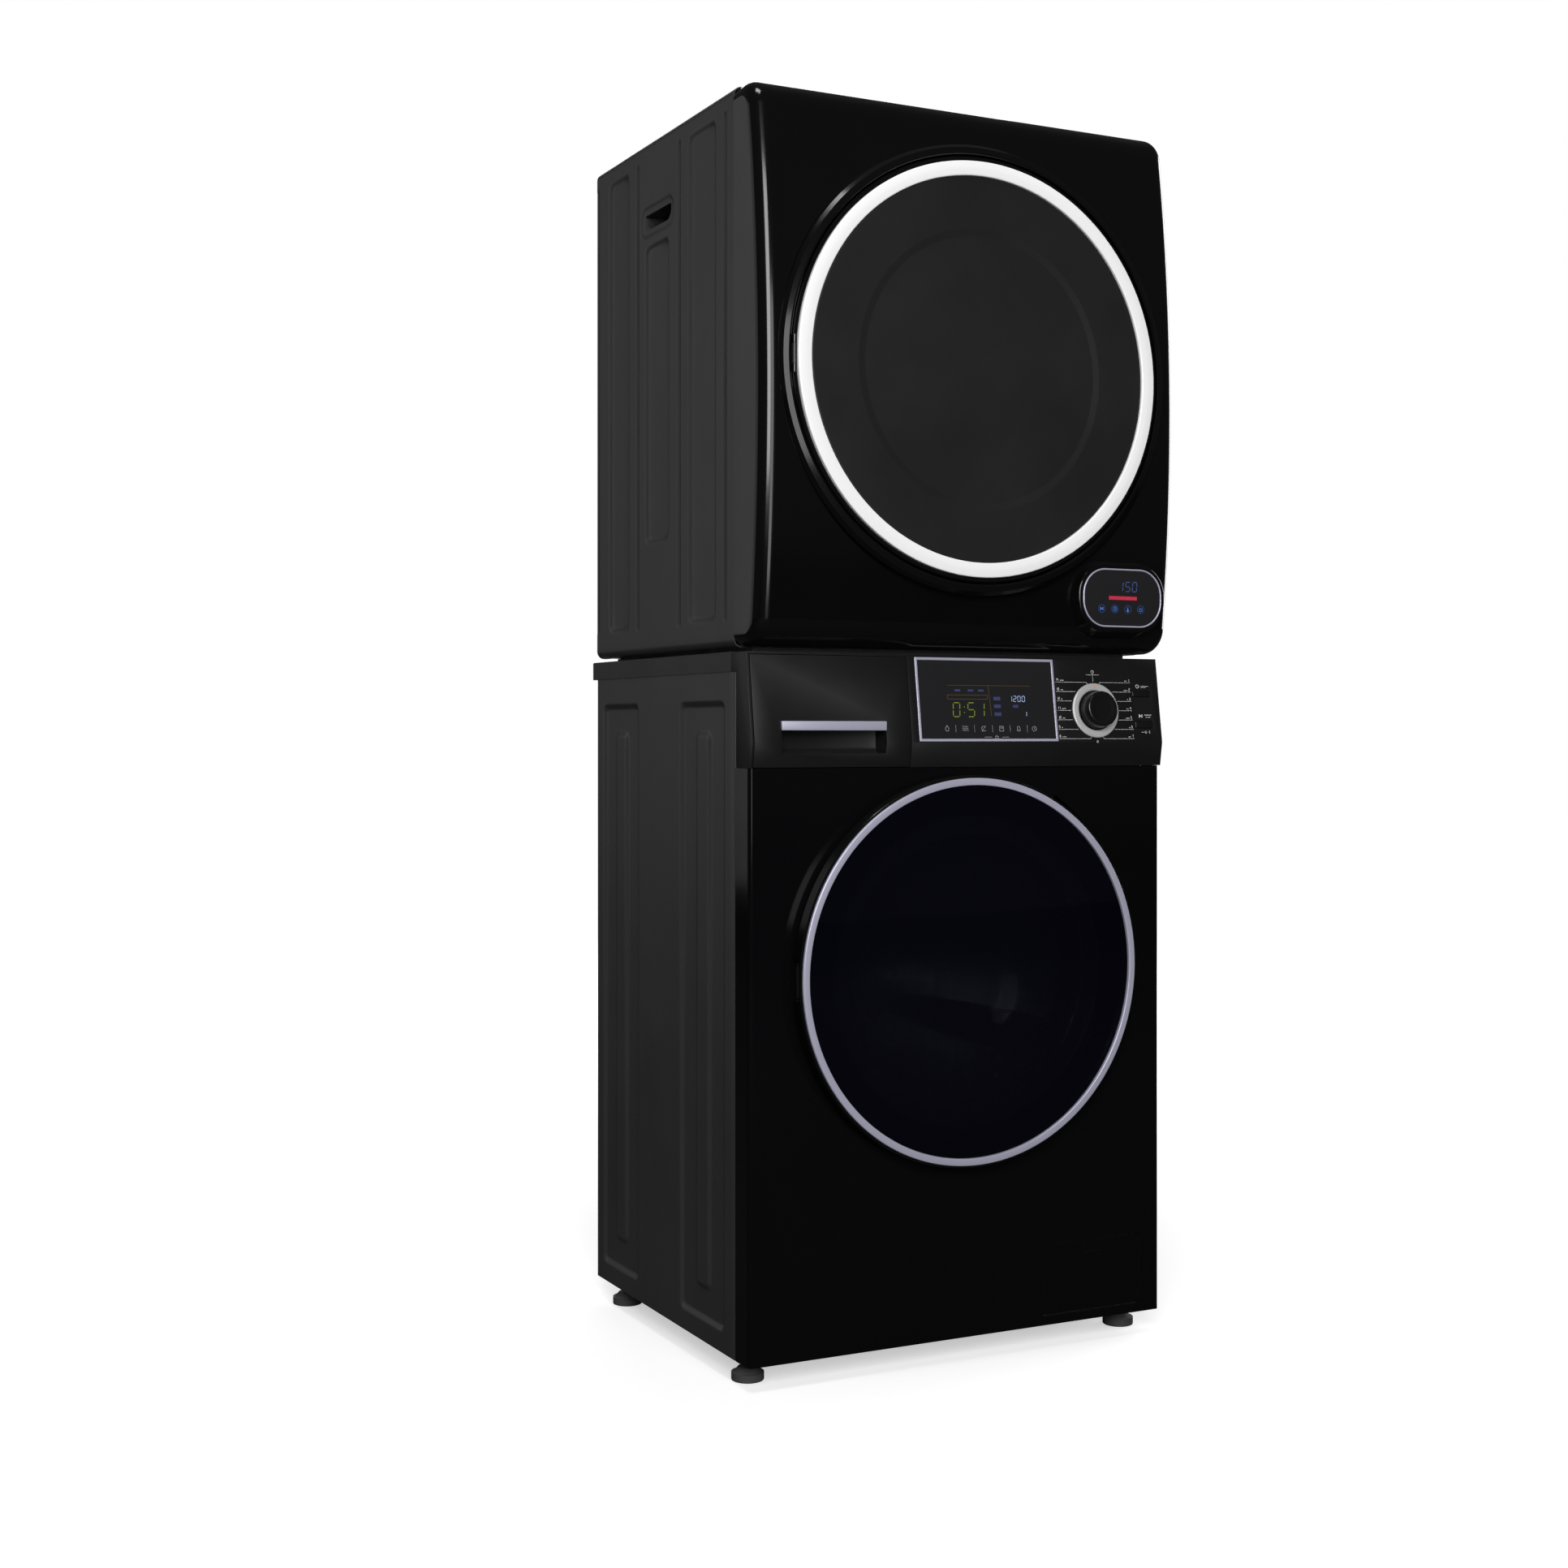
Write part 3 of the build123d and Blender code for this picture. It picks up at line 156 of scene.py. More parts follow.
def on_object(tree):
    """Places in metres on the object itself, so that a pattern keeps its size on every part."""
    return add(tree, "TexCoord").outputs["Object"]


def new_group(title, inputs, outputs):
    """An empty shader group with float or vector inputs and float outputs."""
    group = bpy.data.node_groups.new(title, "ShaderNodeTree")
    for label, value in inputs.items():
        kind = "NodeSocketFloat" if isinstance(value, (int, float)) else "NodeSocketVector"
        socket = group.interface.new_socket(label, in_out="INPUT", socket_type=kind)
        socket.default_value = value
    for label in outputs:
        group.interface.new_socket(label, in_out="OUTPUT", socket_type="NodeSocketFloat")
    return group, group.nodes.new("NodeGroupInput"), group.nodes.new("NodeGroupOutput")


def place_group(tree, group, **values):
    """Drop a group into a material with its own input values."""
    made = tree.nodes.new("ShaderNodeGroup")
    made.node_tree = group
    feed(tree, made, {label.capitalize(): value for label, value in values.items()})
    return made

# %% [markdown]
# Grain is noise measured in metres on the object itself, so it keeps its size on every part. A fine layer
# gives the height and a slow layer gives the cloudy difference in tone that any sprayed or moulded part has.

# %% Grain group
def build_grain():
    """Fine noise for the height, slow noise for the cloud."""
    group, source, sink = new_group("grain", {"Fine": 900.0, "Slow": 9.0, "Stretch": (1, 1, 1)},
                                    ("Height", "Cloud"))
    scaled = add(group, "VectorMath", {0: on_object(group), 1: source.outputs["Stretch"]},
                 operation="MULTIPLY")
    for scale, detail, rough, result in (("Fine", 2.0, 0.6, "Height"), ("Slow", 3.0, 0.5, "Cloud")):
        noise = add(group, "TexNoise", {"Vector": scaled.outputs[0], "Scale": source.outputs[scale],
                                        "Detail": detail, "Roughness": rough})
        feed(group, sink, {result: noise.outputs["Fac"]})
    return group


grain = build_grain()

# %% [markdown]
# Paint and plastic go lighter where hands and cloths rub the edges, and the same lighter edges are also
# a painted highlight along every edge. A bevelled normal turns away from the true one only near an edge, so
# their difference is a mask of edges that works on any mesh.

# %% Lighter edges: rubbing and painted edge highlight
def build_edge_wear():
    """1 near edges, 0 elsewhere, with gaps."""
    group, source, sink = new_group("edge_wear_and_highlight", {"Radius": 0.0012, "Sharpness": 6.0, "Breakup": 60.0},
                                    ("Mask",))
    true_normal = add(group, "NewGeometry")
    soft_normal = add(group, "Bevel", {"Radius": source.outputs["Radius"]}, samples=4)
    alike = add(group, "VectorMath", {0: soft_normal.outputs[0], 1: true_normal.outputs["Normal"]},
                operation="DOT_PRODUCT")
    apart = maths(group, "SUBTRACT", 1.0, alike.outputs["Value"])
    strong = maths(group, "MULTIPLY", apart, source.outputs["Sharpness"], use_clamp=True)
    breakup = add(group, "TexNoise", {"Vector": on_object(group), "Scale": source.outputs["Breakup"],
                                      "Detail": 3.0})
    feed(group, sink, {"Mask": maths(group, "MULTIPLY", strong, breakup.outputs["Fac"])})
    return group


edge_wear_and_highlight = build_edge_wear()

# %% [markdown]
# Dust settles on whatever faces up. The upward part of the surface normal, broken up by noise, says where.

# %% Dust group
def build_dust():
    """Specks on whatever faces up."""
    group, source, sink = new_group("settled_dust", {"Amount": 0.3, "Spread": 35.0}, ("Mask",))
    shape = add(group, "NewGeometry")
    parts = add(group, "SeparateXYZ", {0: shape.outputs["Normal"]})
    upward = add(group, "MapRange", {"Value": parts.outputs["Z"], "From Min": 0.55, "From Max": 1.0})
    specks = add(group, "TexNoise", {"Vector": on_object(group), "Scale": source.outputs["Spread"],
                                     "Detail": 6.0, "Roughness": 0.7})
    thin = maths(group, "MULTIPLY", specks.outputs["Fac"], source.outputs["Amount"])
    feed(group, sink, {"Mask": maths(group, "MULTIPLY", upward.outputs[0], thin)})
    return group


settled_dust = build_dust()

# %% [markdown]
# The standard finish is one recipe: a cloudy base colour, lighter edges that are partly rubbed and partly a
# painted highlight, dust on top, a roughness that wanders a little, and a fine relief. Paint, moulded plastic,
# rubber and metal differ only in its numbers.

# %% The standard finish
finishes = {}
dust_grey = (0.30, 0.29, 0.27, 1)
coat_rough = 0.05


def shade(colour, factor):
    """A colour made lighter or darker, with full alpha."""
    return tuple(min(1.0, c * factor) for c in colour[:3]) + (1,)


def mixed(tree, mask, plain, over):
    """A colour mix. Plain and over may be colours or the outputs of other nodes."""
    return add(tree, "Mix", {0: mask, 6: plain, 7: over}, data_type="RGBA").outputs[2]


def blank(title):
    """A new material with an empty tree, a surface shader and an output."""
    made = bpy.data.materials.new(title)
    made.use_nodes = True
    tree = made.node_tree
    tree.nodes.clear()
    shader = add(tree, "BsdfPrincipled")
    add(tree, "OutputMaterial", {0: shader.outputs[0]})
    return made, tree, shader


def relieve(tree, grains, strength, depth):
    """A relief from the fine grain. Depth is in millimetres."""
    return add(tree, "Bump", {"Strength": strength, "Distance": depth * mm,
                              "Height": grains.outputs["Height"]})


def finish(slot, colour, rough, spread, metal, specular, coat, fine, relief, depth, edge_sharpness, lift, dust,
           slow=9.0, stretch=(1, 1, 1)):
    """Make the material of one slot and keep it under the slot's name."""
    made, tree, shader = blank(slot)
    grains = place_group(tree, grain, fine=fine, slow=slow, stretch=stretch)
    base = mixed(tree, grains.outputs["Cloud"], shade(colour, 1 - spread), shade(colour, 1 + spread))
    # Lighter edges: partly rubbed by hands, partly a painted highlight along the edge.
    rubbed_and_lit_edges = place_group(tree, edge_wear_and_highlight, sharpness=edge_sharpness)
    base = mixed(tree, rubbed_and_lit_edges.outputs["Mask"], base, shade(colour, lift))
    dusty = place_group(tree, settled_dust, amount=dust)
    base = mixed(tree, dusty.outputs["Mask"], base, dust_grey)
    wander = add(tree, "MapRange", {"Value": grains.outputs["Cloud"], "From Min": 0.3, "From Max": 0.7,
                                    "To Min": rough * (1 - spread),
                                    "To Max": min(1.0, rough * (1 + spread))})
    bump = relieve(tree, grains, relief, depth)
    feed(tree, shader, {"Base Color": base, "Roughness": wander.outputs[0], "Normal": bump.outputs[0],
                        "Metallic": metal, "Specular IOR Level": specular, "Coat Weight": coat,
                        "Coat Roughness": coat_rough})
    made.diffuse_color = shade(colour, 1)
    finishes[slot] = made
    return tree, shader, bump

# %% [markdown]
# The recipes follow, one row for each slot. The columns are the colour, the roughness and how far it and the
# tone wander, metal, specular and coat, the grain's scale, strength and depth in millimetres, then how sharply
# edges are picked out, how much lighter an edge is, partly from rubbing and partly as a painted highlight, and
# dust. Two last columns change the scale of the slow clouds and pull the grain out along one axis, as brushing
# does.
#
# The fronts are deep gloss, so almost all of their look is reflection: the base is nearly black and the
# specular is held low. The sides are satin powder coat, with the fine pebble that such a coat dries to.
# Console plastic has a light spark texture. The white ring is a lacquer with hardly any clouding.

# %% Recipes
recipes = {
    "cabinet_steel": ((0.0330, 0.0330, 0.0330), 0.40, 0.12, 0, 0.42, 0, 1500, 0.16, 0.15, 2.0, 1.6, 0.10),
    "front_steel": ((0.0026, 0.0026, 0.0030), 0.10, 0.10, 0, 0.16, 0, 260, 0.05, 0.08, 2.5, 6.0, 0.04),
    "gloss_black": ((0.0026, 0.0026, 0.0028), 0.13, 0.10, 0, 0.34, 0, 200, 0.03, 0.08, 1.5, 5.0, 0.04),
    "console_plastic": ((0.0068, 0.0068, 0.0070), 0.36, 0.12, 0, 0.32, 0, 2200, 0.14, 0.10, 3.0, 3.0, 0.06),
    "top_plate": ((0.016, 0.016, 0.0175), 0.46, 0.12, 0, 0.5, 0, 1400, 0.20, 0.20, 2.5, 2.2, 0.22),
    "door_disc": ((0.0120, 0.0120, 0.0123), 0.38, 0.12, 0, 0.22, 0, 2600, 0.10, 0.08, 1.0, 1.6, 0.03),
    "knob_black": ((0.0045, 0.0045, 0.0050), 0.26, 0.12, 0, 0.45, 0, 1800, 0.10, 0.10, 3.0, 4.0, 0.04),
    "dark_plastic": ((0.020, 0.020, 0.021), 0.55, 0.12, 0, 0.5, 0, 1700, 0.25, 0.20, 3.0, 2.2, 0.15),
    "hinge_black": ((0.008, 0.008, 0.009), 0.45, 0.12, 0, 0.5, 0, 1500, 0.15, 0.10, 3.0, 3.0, 0.15),
    "rubber_grey": ((0.045, 0.045, 0.048), 0.72, 0.20, 0, 0.5, 0, 1100, 0.35, 0.30, 2.0, 1.7, 0.30),
    "belt_rubber": ((0.012, 0.012, 0.012), 0.80, 0.12, 0, 0.5, 0, 700, 0.40, 0.30, 3.0, 2.2, 0.30,
                    9.0, (1, 8, 1)),
    "grey_plastic": ((0.27, 0.28, 0.30), 0.48, 0.08, 0, 0.5, 0, 1300, 0.20, 0.20, 1.5, 1.25, 0.10),
    "white_trim": ((0.88, 0.88, 0.88), 0.24, 0.015, 0, 0.5, 0.4, 1500, 0.05, 0.10, 0.5, 1.05, 0.02),
    "silver_trim": ((0.44, 0.435, 0.545), 0.34, 0.05, 0.30, 0.5, 0, 2400, 0.08, 0.10, 2.0, 1.5, 0.02),
    "dial_silver": ((0.50, 0.50, 0.505), 0.40, 0.06, 0.25, 0.5, 0, 2400, 0.10, 0.10, 3.0, 1.8, 0.02),
    "stainless": ((0.62, 0.62, 0.61), 0.26, 0.05, 1.0, 0.5, 0, 700, 0.12, 0.20, 1.0, 1.2, 0.02,
                  9.0, (1, 0.05, 1)),
    "cast_metal": ((0.50, 0.50, 0.51), 0.50, 0.12, 0.9, 0.5, 0, 500, 0.50, 0.50, 3.0, 1.5, 0.10),
    "screw_steel": ((0.55, 0.55, 0.55), 0.32, 0.08, 1.0, 0.5, 0, 1800, 0.10, 0.10, 3.0, 1.4, 0.02),
    "galvanised_steel": ((0.44, 0.45, 0.46), 0.44, 0.12, 0.9, 0.5, 0, 900, 0.10, 0.10, 1.5, 1.3, 0.05),
    "concrete": ((0.30, 0.295, 0.28), 0.88, 0.18, 0, 0.5, 0, 350, 0.80, 1.00, 1.0, 1.3, 0.20, 25.0),
    "circuit_board": ((0.016, 0.11, 0.04), 0.35, 0.12, 0, 0.5, 0.5, 600, 0.20, 0.10, 3.0, 2.2, 0.10),
}
worked = {slot: finish(slot, *row) for slot, row in recipes.items()}
print(len(worked), "finishes from one recipe")

# %% [markdown]
# Three finishes need a pattern of their own. Galvanised sheet shows zinc crystals, which are Voronoi cells of
# slightly different greys. The counterweight is poured concrete with grit and small pits. The circuit board
# is green lacquer over copper tracks, drawn with a thin brick pattern.

# %% Zinc, concrete and circuit board
tree, shader, _ = worked["galvanised_steel"]
crystals = add(tree, "TexVoronoi", {"Vector": on_object(tree), "Scale": 120.0})
greys = add(tree, "SeparateColor", {0: crystals.outputs["Color"]})
gloss = add(tree, "MapRange", {"Value": greys.outputs[1], "To Min": 0.34, "To Max": 0.54})
feed(tree, shader, {"Base Color": mixed(tree, greys.outputs[0], (0.36, 0.37, 0.385, 1), (0.52, 0.53, 0.54, 1)),
                    "Roughness": gloss.outputs[0]})

tree, _, bump = worked["concrete"]
grit = add(tree, "TexVoronoi", {"Vector": on_object(tree), "Scale": 260.0})
pits = add(tree, "MapRange", {"Value": grit.outputs["Distance"], "From Min": 0.05, "From Max": 0.25})
feed(tree, bump, {"Height": pits.outputs[0]})

tree, shader, _ = worked["circuit_board"]
flat = add(tree, "Mapping", {"Vector": on_object(tree), "Rotation": (math.pi / 2, 0, 0)})
tracks = add(tree, "TexBrick", {"Vector": flat.outputs[0], "Color1": (0.012, 0.09, 0.03, 1),
                                "Color2": (0.016, 0.12, 0.045, 1), "Mortar": (0.05, 0.22, 0.08, 1),
                                "Scale": 60.0, "Mortar Size": 0.03})
feed(tree, shader, {"Base Color": tracks.outputs["Color"]})

# %% [markdown]
# Glass comes in three kinds. The outer pane of the washer's door is smoked almost black with a cold tint, the
# bowl behind it is clear with a grey cast, and the display windows are black plastic that only shines. The
# smoked film is a cover that is about a third open, so that light really falls through it onto the bowl and the
# drum. A refracting pane would keep that light out, because a path tracer seldom finds its way through.

# %% Glass
def pour_glass(slot, tint, through, rough, relief, specular=0.5, cover=1.0):
    """Through is how much light the glass itself lets pass, cover how much of the pane is there at all."""
    made, tree, shader = blank(slot)
    grains = place_group(tree, grain, fine=120.0, slow=6.0)
    wander = add(tree, "MapRange", {"Value": grains.outputs["Cloud"], "To Min": rough * 0.7,
                                    "To Max": rough * 1.3})
    bump = relieve(tree, grains, relief, 0.3)
    feed(tree, shader, {"Base Color": mixed(tree, grains.outputs["Cloud"], shade(tint, 0.9), shade(tint, 1.1)),
                        "Roughness": wander.outputs[0], "Normal": bump.outputs[0],
                        "Transmission Weight": through, "Alpha": cover, "Specular IOR Level": specular})
    made.diffuse_color = shade(tint, 1)
    finishes[slot] = made


pour_glass("door_glass", (0.0018, 0.0017, 0.0045), 0.0, 0.03, 0.02, specular=0.20, cover=0.70)
pour_glass("bowl_glass", (0.55, 0.60, 0.68), 0.92, 0.04, 0.05)
pour_glass("display_glass", (0.0150, 0.0150, 0.0162), 0.0, 0.16, 0.02, specular=0.24)

# %% [markdown]
# Each carried-over part takes the finish of its slot. The door hinges and locks are the exception. They show
# through the gaps beside the doors, and real ones are painted black so that nobody notices them.

# %% Give every carried-over part its finish
painted_black = ("door_hinges", "door_locks")
for name, node in nodes.items():
    for held in node.material_slots:
        held.material = finishes["hinge_black" if name in painted_black else held.material.name]
print(len(finishes), "finishes on", len(nodes), "parts")

# %% [markdown]
# A few mesh tools follow. Rounded outlines are worth the trouble: real mouldings have no sharp corner, and it
# is the thin highlight along a rounded edge that makes a black object readable at all.

# %% Outlines
def round_corners(points, radius, steps=4):
    """Round the corners of a closed outline. A third number on a point is its own radius."""
    rounded = []
    for number, point in enumerate(points):
        here = Vector(point[:2])
        back = Vector(points[number - 1][:2]) - here
        ahead = Vector(points[(number + 1) % len(points)][:2]) - here
        wanted = point[2] if len(point) > 2 else radius
        room = 0.49 * min(back.length, ahead.length)
        back.normalize()
        ahead.normalize()
        half_turn = back.angle(ahead) / 2
        if wanted <= 0 or half_turn > 1.55:
            rounded.append(here)
            continue
        reach = min(wanted / math.tan(half_turn), room)
        centre = here + (back + ahead).normalized() * (reach / math.cos(half_turn))
        start = here + back * reach - centre
        end = here + ahead * reach - centre
        for step in range(steps + 1):
            aim = start.slerp(end, step / steps) if start.length > 0.001 else start
            rounded.append(centre + aim.normalized() * start.length)
    return rounded


def rounded_rectangle(width, height, radius, steps=8):
    x, y = width / 2, height / 2
    return round_corners([(-x, -y), (x, -y), (x, y), (-x, y)], radius, steps)


# %% [markdown]
# Every piece is made from points and faces with the finish of its slot, cleaned, and shaded smooth except
# across real edges. It then rides on a body of the frame and may stand in for imported parts.

# %% Making and cleaning a piece
def clean(thing, sharp=32.0):
    """Weld doubled points, turn faces outwards and keep only true edges sharp."""
    work = bmesh.new()
    work.from_mesh(thing.data)
    bmesh.ops.remove_doubles(work, verts=work.verts, dist=2e-6)
    bmesh.ops.dissolve_degenerate(work, edges=work.edges, dist=1e-7)
    bmesh.ops.recalc_face_normals(work, faces=work.faces)
    work.to_mesh(thing.data)
    work.free()
    thing.data.polygons.foreach_set("use_smooth", [True] * len(thing.data.polygons))
    thing.data.set_sharp_from_angle(angle=math.radians(sharp))


def rough_piece(name, points, faces, slot):
    """A new object from points in metres."""
    mesh = bpy.data.meshes.new(name)
    mesh.from_pydata([tuple(p) for p in points], [], faces)
    mesh.materials.append(finishes[slot])
    thing = bpy.data.objects.new(name, mesh)
    scene.collection.objects.link(thing)
    return thing


def solid(name, points, faces, slot):
    """A finished piece from points in metres."""
    thing = rough_piece(name, points, faces, slot)
    clean(thing)
    return thing


def hand_over(thing, body, slot, *replaced):
    """The piece rides on its body and hides the parts that it stands for. The slot is not used."""
    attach(thing, body)
    if replaced:
        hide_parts(*replaced)
    return thing


def freeze(thing):
    """Turn modifiers into plain mesh."""
    graph = bpy.context.evaluated_depsgraph_get()
    solid = bpy.data.meshes.new_from_object(thing.evaluated_get(graph))
    thing.modifiers.clear()
    thing.data = solid


def carve(thing, *cutters):
    """Cut solids out of a piece, and throw the cutters away."""
    for cutter in cutters:
        cut = thing.modifiers.new("cut", "BOOLEAN")
        cut.object = cutter
        cut.solver = "EXACT"
        freeze(thing)
        bpy.data.objects.remove(cutter)
    return thing


def soften(thing, width, segments=3):
    """Round every edge sharper than 28 degrees by a width in millimetres."""
    bevel = thing.modifiers.new("soft edges", "BEVEL")
    bevel.width = width * mm
    bevel.segments = segments
    bevel.limit_method = "ANGLE"
    bevel.angle_limit = math.radians(28.0)
    bevel.use_clamp_overlap = True
    freeze(thing)
    clean(thing)
    return thing


# %% [markdown]
# Round things are turned: an outline of radius and rise swings about its axis, as on a lathe. Flat things
# are slabs: a rounded outline stacked in layers, with the top layers drawn in along a quarter circle.

# %% Turned pieces, slabs, rims and bars
def bands(rows, count, wrap):
    """Faces that join each row of points to the next one, and the last to the first if they wrap."""
    faces = []
    for row in range(rows if wrap else rows - 1):
        a, b = row * count, (row + 1) % rows * count
        for k in range(count):
            n = (k + 1) % count
            faces.append((a + k, a + n, b + n, b + k))
    return faces


def turn(name, outline, place, slot, steps=192, ribs=0, rib_depth=0.0):
    """Swing a closed (radius, rise) outline about the placed axis. A third number marks a ribbed point."""
    points = []
    for step in range(steps):
        angle = tau * step / steps
        wave = rib_depth * (0.5 + 0.5 * math.cos(angle * ribs)) if ribs else 0.0
        for corner in outline:
            radius = corner[0] - (wave if len(corner) > 2 and corner[2] else 0.0)
            points.append(place @ Vector((radius * math.cos(angle), radius * math.sin(angle), corner[1])))
    return solid(name, points, bands(steps, len(outline), True), slot)


def stack(name, layers, place, slot, wrap=False):
    """Join outlines of equal length, each with its rise, into one solid."""
    points = [place @ Vector((p[0], p[1], rise)) for outline, rise in layers for p in outline]
    count = len(layers[0][0])
    faces = bands(len(layers), count, wrap)
    if not wrap:
        faces += [tuple(range(count))[::-1], tuple(range(len(points) - count, len(points)))]
    return solid(name, points, faces, slot)


def quarter_round(edge, high, steps):
    """(Inset, rise) pairs up a rounded edge."""
    angles = [math.pi / 2 * step / steps for step in range(steps + 1)]
    return [(edge * (1 - math.cos(a)), high - edge + edge * math.sin(a)) for a in angles]


def inset_rectangle(width, height, corner, inset, steps):
    return rounded_rectangle(width - 2 * inset, height - 2 * inset, max(corner - inset, 0.05), steps)


def slab(name, width, height, corner, low, high, edge, place, slot, steps=8):
    """A plate with rounded corners and a rounded upper edge."""
    layers = [(inset_rectangle(width, height, corner, inset, steps), rise)
              for inset, rise in [(0.0, low)] + quarter_round(edge, high, 4)]
    return stack(name, layers, place, slot)


def rim(name, outer, inner, low, high, edge, place, slot, steps=8):
    """A picture frame between two rounded rectangles of (width, height, corner)."""
    side = [(0.0, low)] + quarter_round(edge, high, 3)
    layers = [(inset_rectangle(*outer, inset, steps), rise) for inset, rise in side]
    layers += [(inset_rectangle(*inner, -inset, steps), rise) for inset, rise in side[::-1]]
    return stack(name, layers, place, slot, wrap=True)


def bar(name, outline, x0, x1, slot):
    """A bar along the machine's width from a (depth, height) outline."""
    points = [Vector((x, front_y + depth, z)) * mm for x in (x0, x1) for depth, z in outline]
    count = len(outline)
    caps = [tuple(range(count))[::-1], tuple(range(count, 2 * count))]
    return solid(name, points, bands(2, count, False) + caps, slot)


def box(x0, x1, d0, d1, z0, z1, slot="grey_plastic"):
    """A plain block, used as a cutter or as the start of a softened piece."""
    return bar("block", [(d0, z0), (d1, z0), (d1, z1), (d0, z1)], x0, x1, slot)

# %% [markdown]
# The washer's side panels are pressed sheet. A grid of points is pushed inwards by a height rule: each
# pressed area is a plateau with a soft slope, and a rib rises back inside it. The grid lines crowd together
# at the slopes, so that the bends are round and the flat areas stay cheap.

# %% Pressed sheet
sheet = 1.2


def plateau(u, v, area, corner, run):
    """0 outside a rounded rectangle, 1 inside, with a soft slope of this length along its edge."""
    u0, u1, v0, v1 = area
    du = abs(u - (u0 + u1) / 2) - (u1 - u0) / 2 + corner
    dv = abs(v - (v0 + v1) / 2) - (v1 - v0) / 2 + corner
    outside = math.hypot(max(du, 0), max(dv, 0)) + min(max(du, dv), 0) - corner
    t = min(1.0, max(0.0, -outside / run))
    return t * t * (3 - 2 * t)


def grid_lines(low, high, marks, reach=13.0, fine=1.8, coarse=24.0):
    """Positions from low to high, close together near the marks."""
    lines = [low]
    while lines[-1] < high - 0.01:
        near = min(abs(lines[-1] - mark) for mark in marks)
        ahead = [mark - reach - lines[-1] for mark in marks if mark - reach > lines[-1] + 0.01]
        step = fine if near <= reach else min([coarse] + ahead)
        lines.append(min(high, lines[-1] + max(step, 0.6)))
    return lines


def sheet_metal(name, rows, slot):
    """A skin of rows of points, given the thickness of the steel behind it."""
    points = [point for row in rows for point in row]
    wide = len(rows[0])
    faces = []
    for r in range(len(rows) - 1):
        for c in range(wide - 1):
            a = r * wide + c
            faces.append((a, a + 1, a + wide + 1, a + wide))
    thing = rough_piece(name, points, faces, slot)
    thick = thing.modifiers.new("steel", "SOLIDIFY")
    thick.thickness = sheet * mm
    thick.offset = -1.0
    freeze(thing)
    clean(thing, 40)
    return thing


# Each press of the washer's side: where it starts and ends in depth, then the same for the rib inside it.
washer_presses = ((68, 204, 112, 159), (339, 466, 380, 425))
press_z, rib_z = (54, 824), (93, 787)
press_deep, rib_back, press_corner, press_slope = 3.6, 3.2, 12, 8.5


def washer_sink(depth, z):
    """How far the washer's side is pressed in at a place."""
    sink = 0.0
    for d0, d1, rib0, rib1 in washer_presses:
        sink += press_deep * plateau(depth, z, (d0, d1, *press_z), press_corner, press_slope)
        sink -= rib_back * plateau(depth, z, (rib0, rib1, *rib_z), press_corner, press_slope)
    return sink


def press_washer_side(side, word):
    """A side panel with its two presses, folded in at the front seam and at the back."""
    low, high = span("washer_side_left")
    seam, back = low.y - front_y, high.y - front_y
    marks = [m for press in washer_presses for m in press]
    path = [(15.0, seam + 0.6), (2.2, seam + 0.6), (1.0, seam + 0.9), (0.3, seam + 1.6)]
    path += [(0.0, d) for d in grid_lines(seam + 2.6, back - 2.6, marks)]
    path += [(0.3, back - 1.6), (1.0, back - 0.7), (2.2, back - 0.1), (9.0, back - 0.1)]
    rows = []
    for z in grid_lines(low.z, high.z, press_z + rib_z):
        row = []
        for inward, depth in path:
            x = side * (wall_x - inward - washer_sink(depth, z))
            row.append(Vector((x, front_y + depth, z)) * mm)
        rows.append(row if side > 0 else row[::-1])
    return sheet_metal("washer_skin_" + word, rows, "cabinet_steel")


for side, word in ((-1, "left"), (1, "right")):
    skin = hand_over(press_washer_side(side, word), "cabinet", "cabinet_steel", "washer_side_" + word)
    print(skin.name, len(skin.data.polygons), "faces")

# %% [markdown]
# The dryer's wrapper is one sheet bent over the top, with three pressed panels and four narrow grooves on
# each side. The same height rule shapes it. The path across the machine runs up one side, over the top and
# down the other, and the hand grips are cut through the finished steel.

# %% Dryer wrapper
dryer_low, dryer_high = span("dryer_cabinet")
grip_depth, grip_z, grip_width, grip_height = 279.0, 1456.0, 86.0, 20.0
grooves = (68, 206, 343, 485)
panels = ((94, 178, 920, 1538), (372, 445, 920, 1538), (238, 318, 1031, 1426))
groove_deep, panel_deep, grip_rim_deep, grip_rim = 2.8, 3.4, 2.4, 12.0


def dryer_sink(depth, z):
    """How far the dryer's side is pressed in at a place."""
    sink = sum(groove_deep * plateau(depth, z, (d - 5, d + 5, 918, 1539), 4.8, 4.8) for d in grooves)
    sink += sum(panel_deep * plateau(depth, z, panel, 14, 8.0) for panel in panels)
    x, y = grip_width / 2 + grip_rim, grip_height / 2 + grip_rim
    around_grip = (grip_depth - x, grip_depth + x, grip_z - y, grip_z + y)
    return sink + grip_rim_deep * plateau(depth, z, around_grip, 18, 6.0)


def wrapper_path():
    """Points across the machine as (x, z, how much of the side's pressing they take)."""
    bend = 10.0
    low, high = dryer_low.z, dryer_high.z
    path = [(-wall_x + 14, low, 0), (-wall_x + bend, low, 0)]
    for step in range(1, 6):
        angle = math.pi / 2 * step / 6
        path.append((-wall_x + bend - bend * math.sin(angle), low + bend - bend * math.cos(angle), 0))
    marks = (918, 1031, 1426, grip_z - 16, grip_z + 16, 1538)
    path += [(-wall_x, z, 1) for z in grid_lines(low + bend, high - bend, marks)]
    for step in range(1, 7):
        angle = math.pi / 2 * step / 6
        path.append((-wall_x + bend - bend * math.cos(angle), high - bend + bend * math.sin(angle), 0))
    path += [(x, high, 0) for x in (-200, -100, 0)]
    return path + [(-x, z, take) for x, z, take in path[::-1] if x < 0]


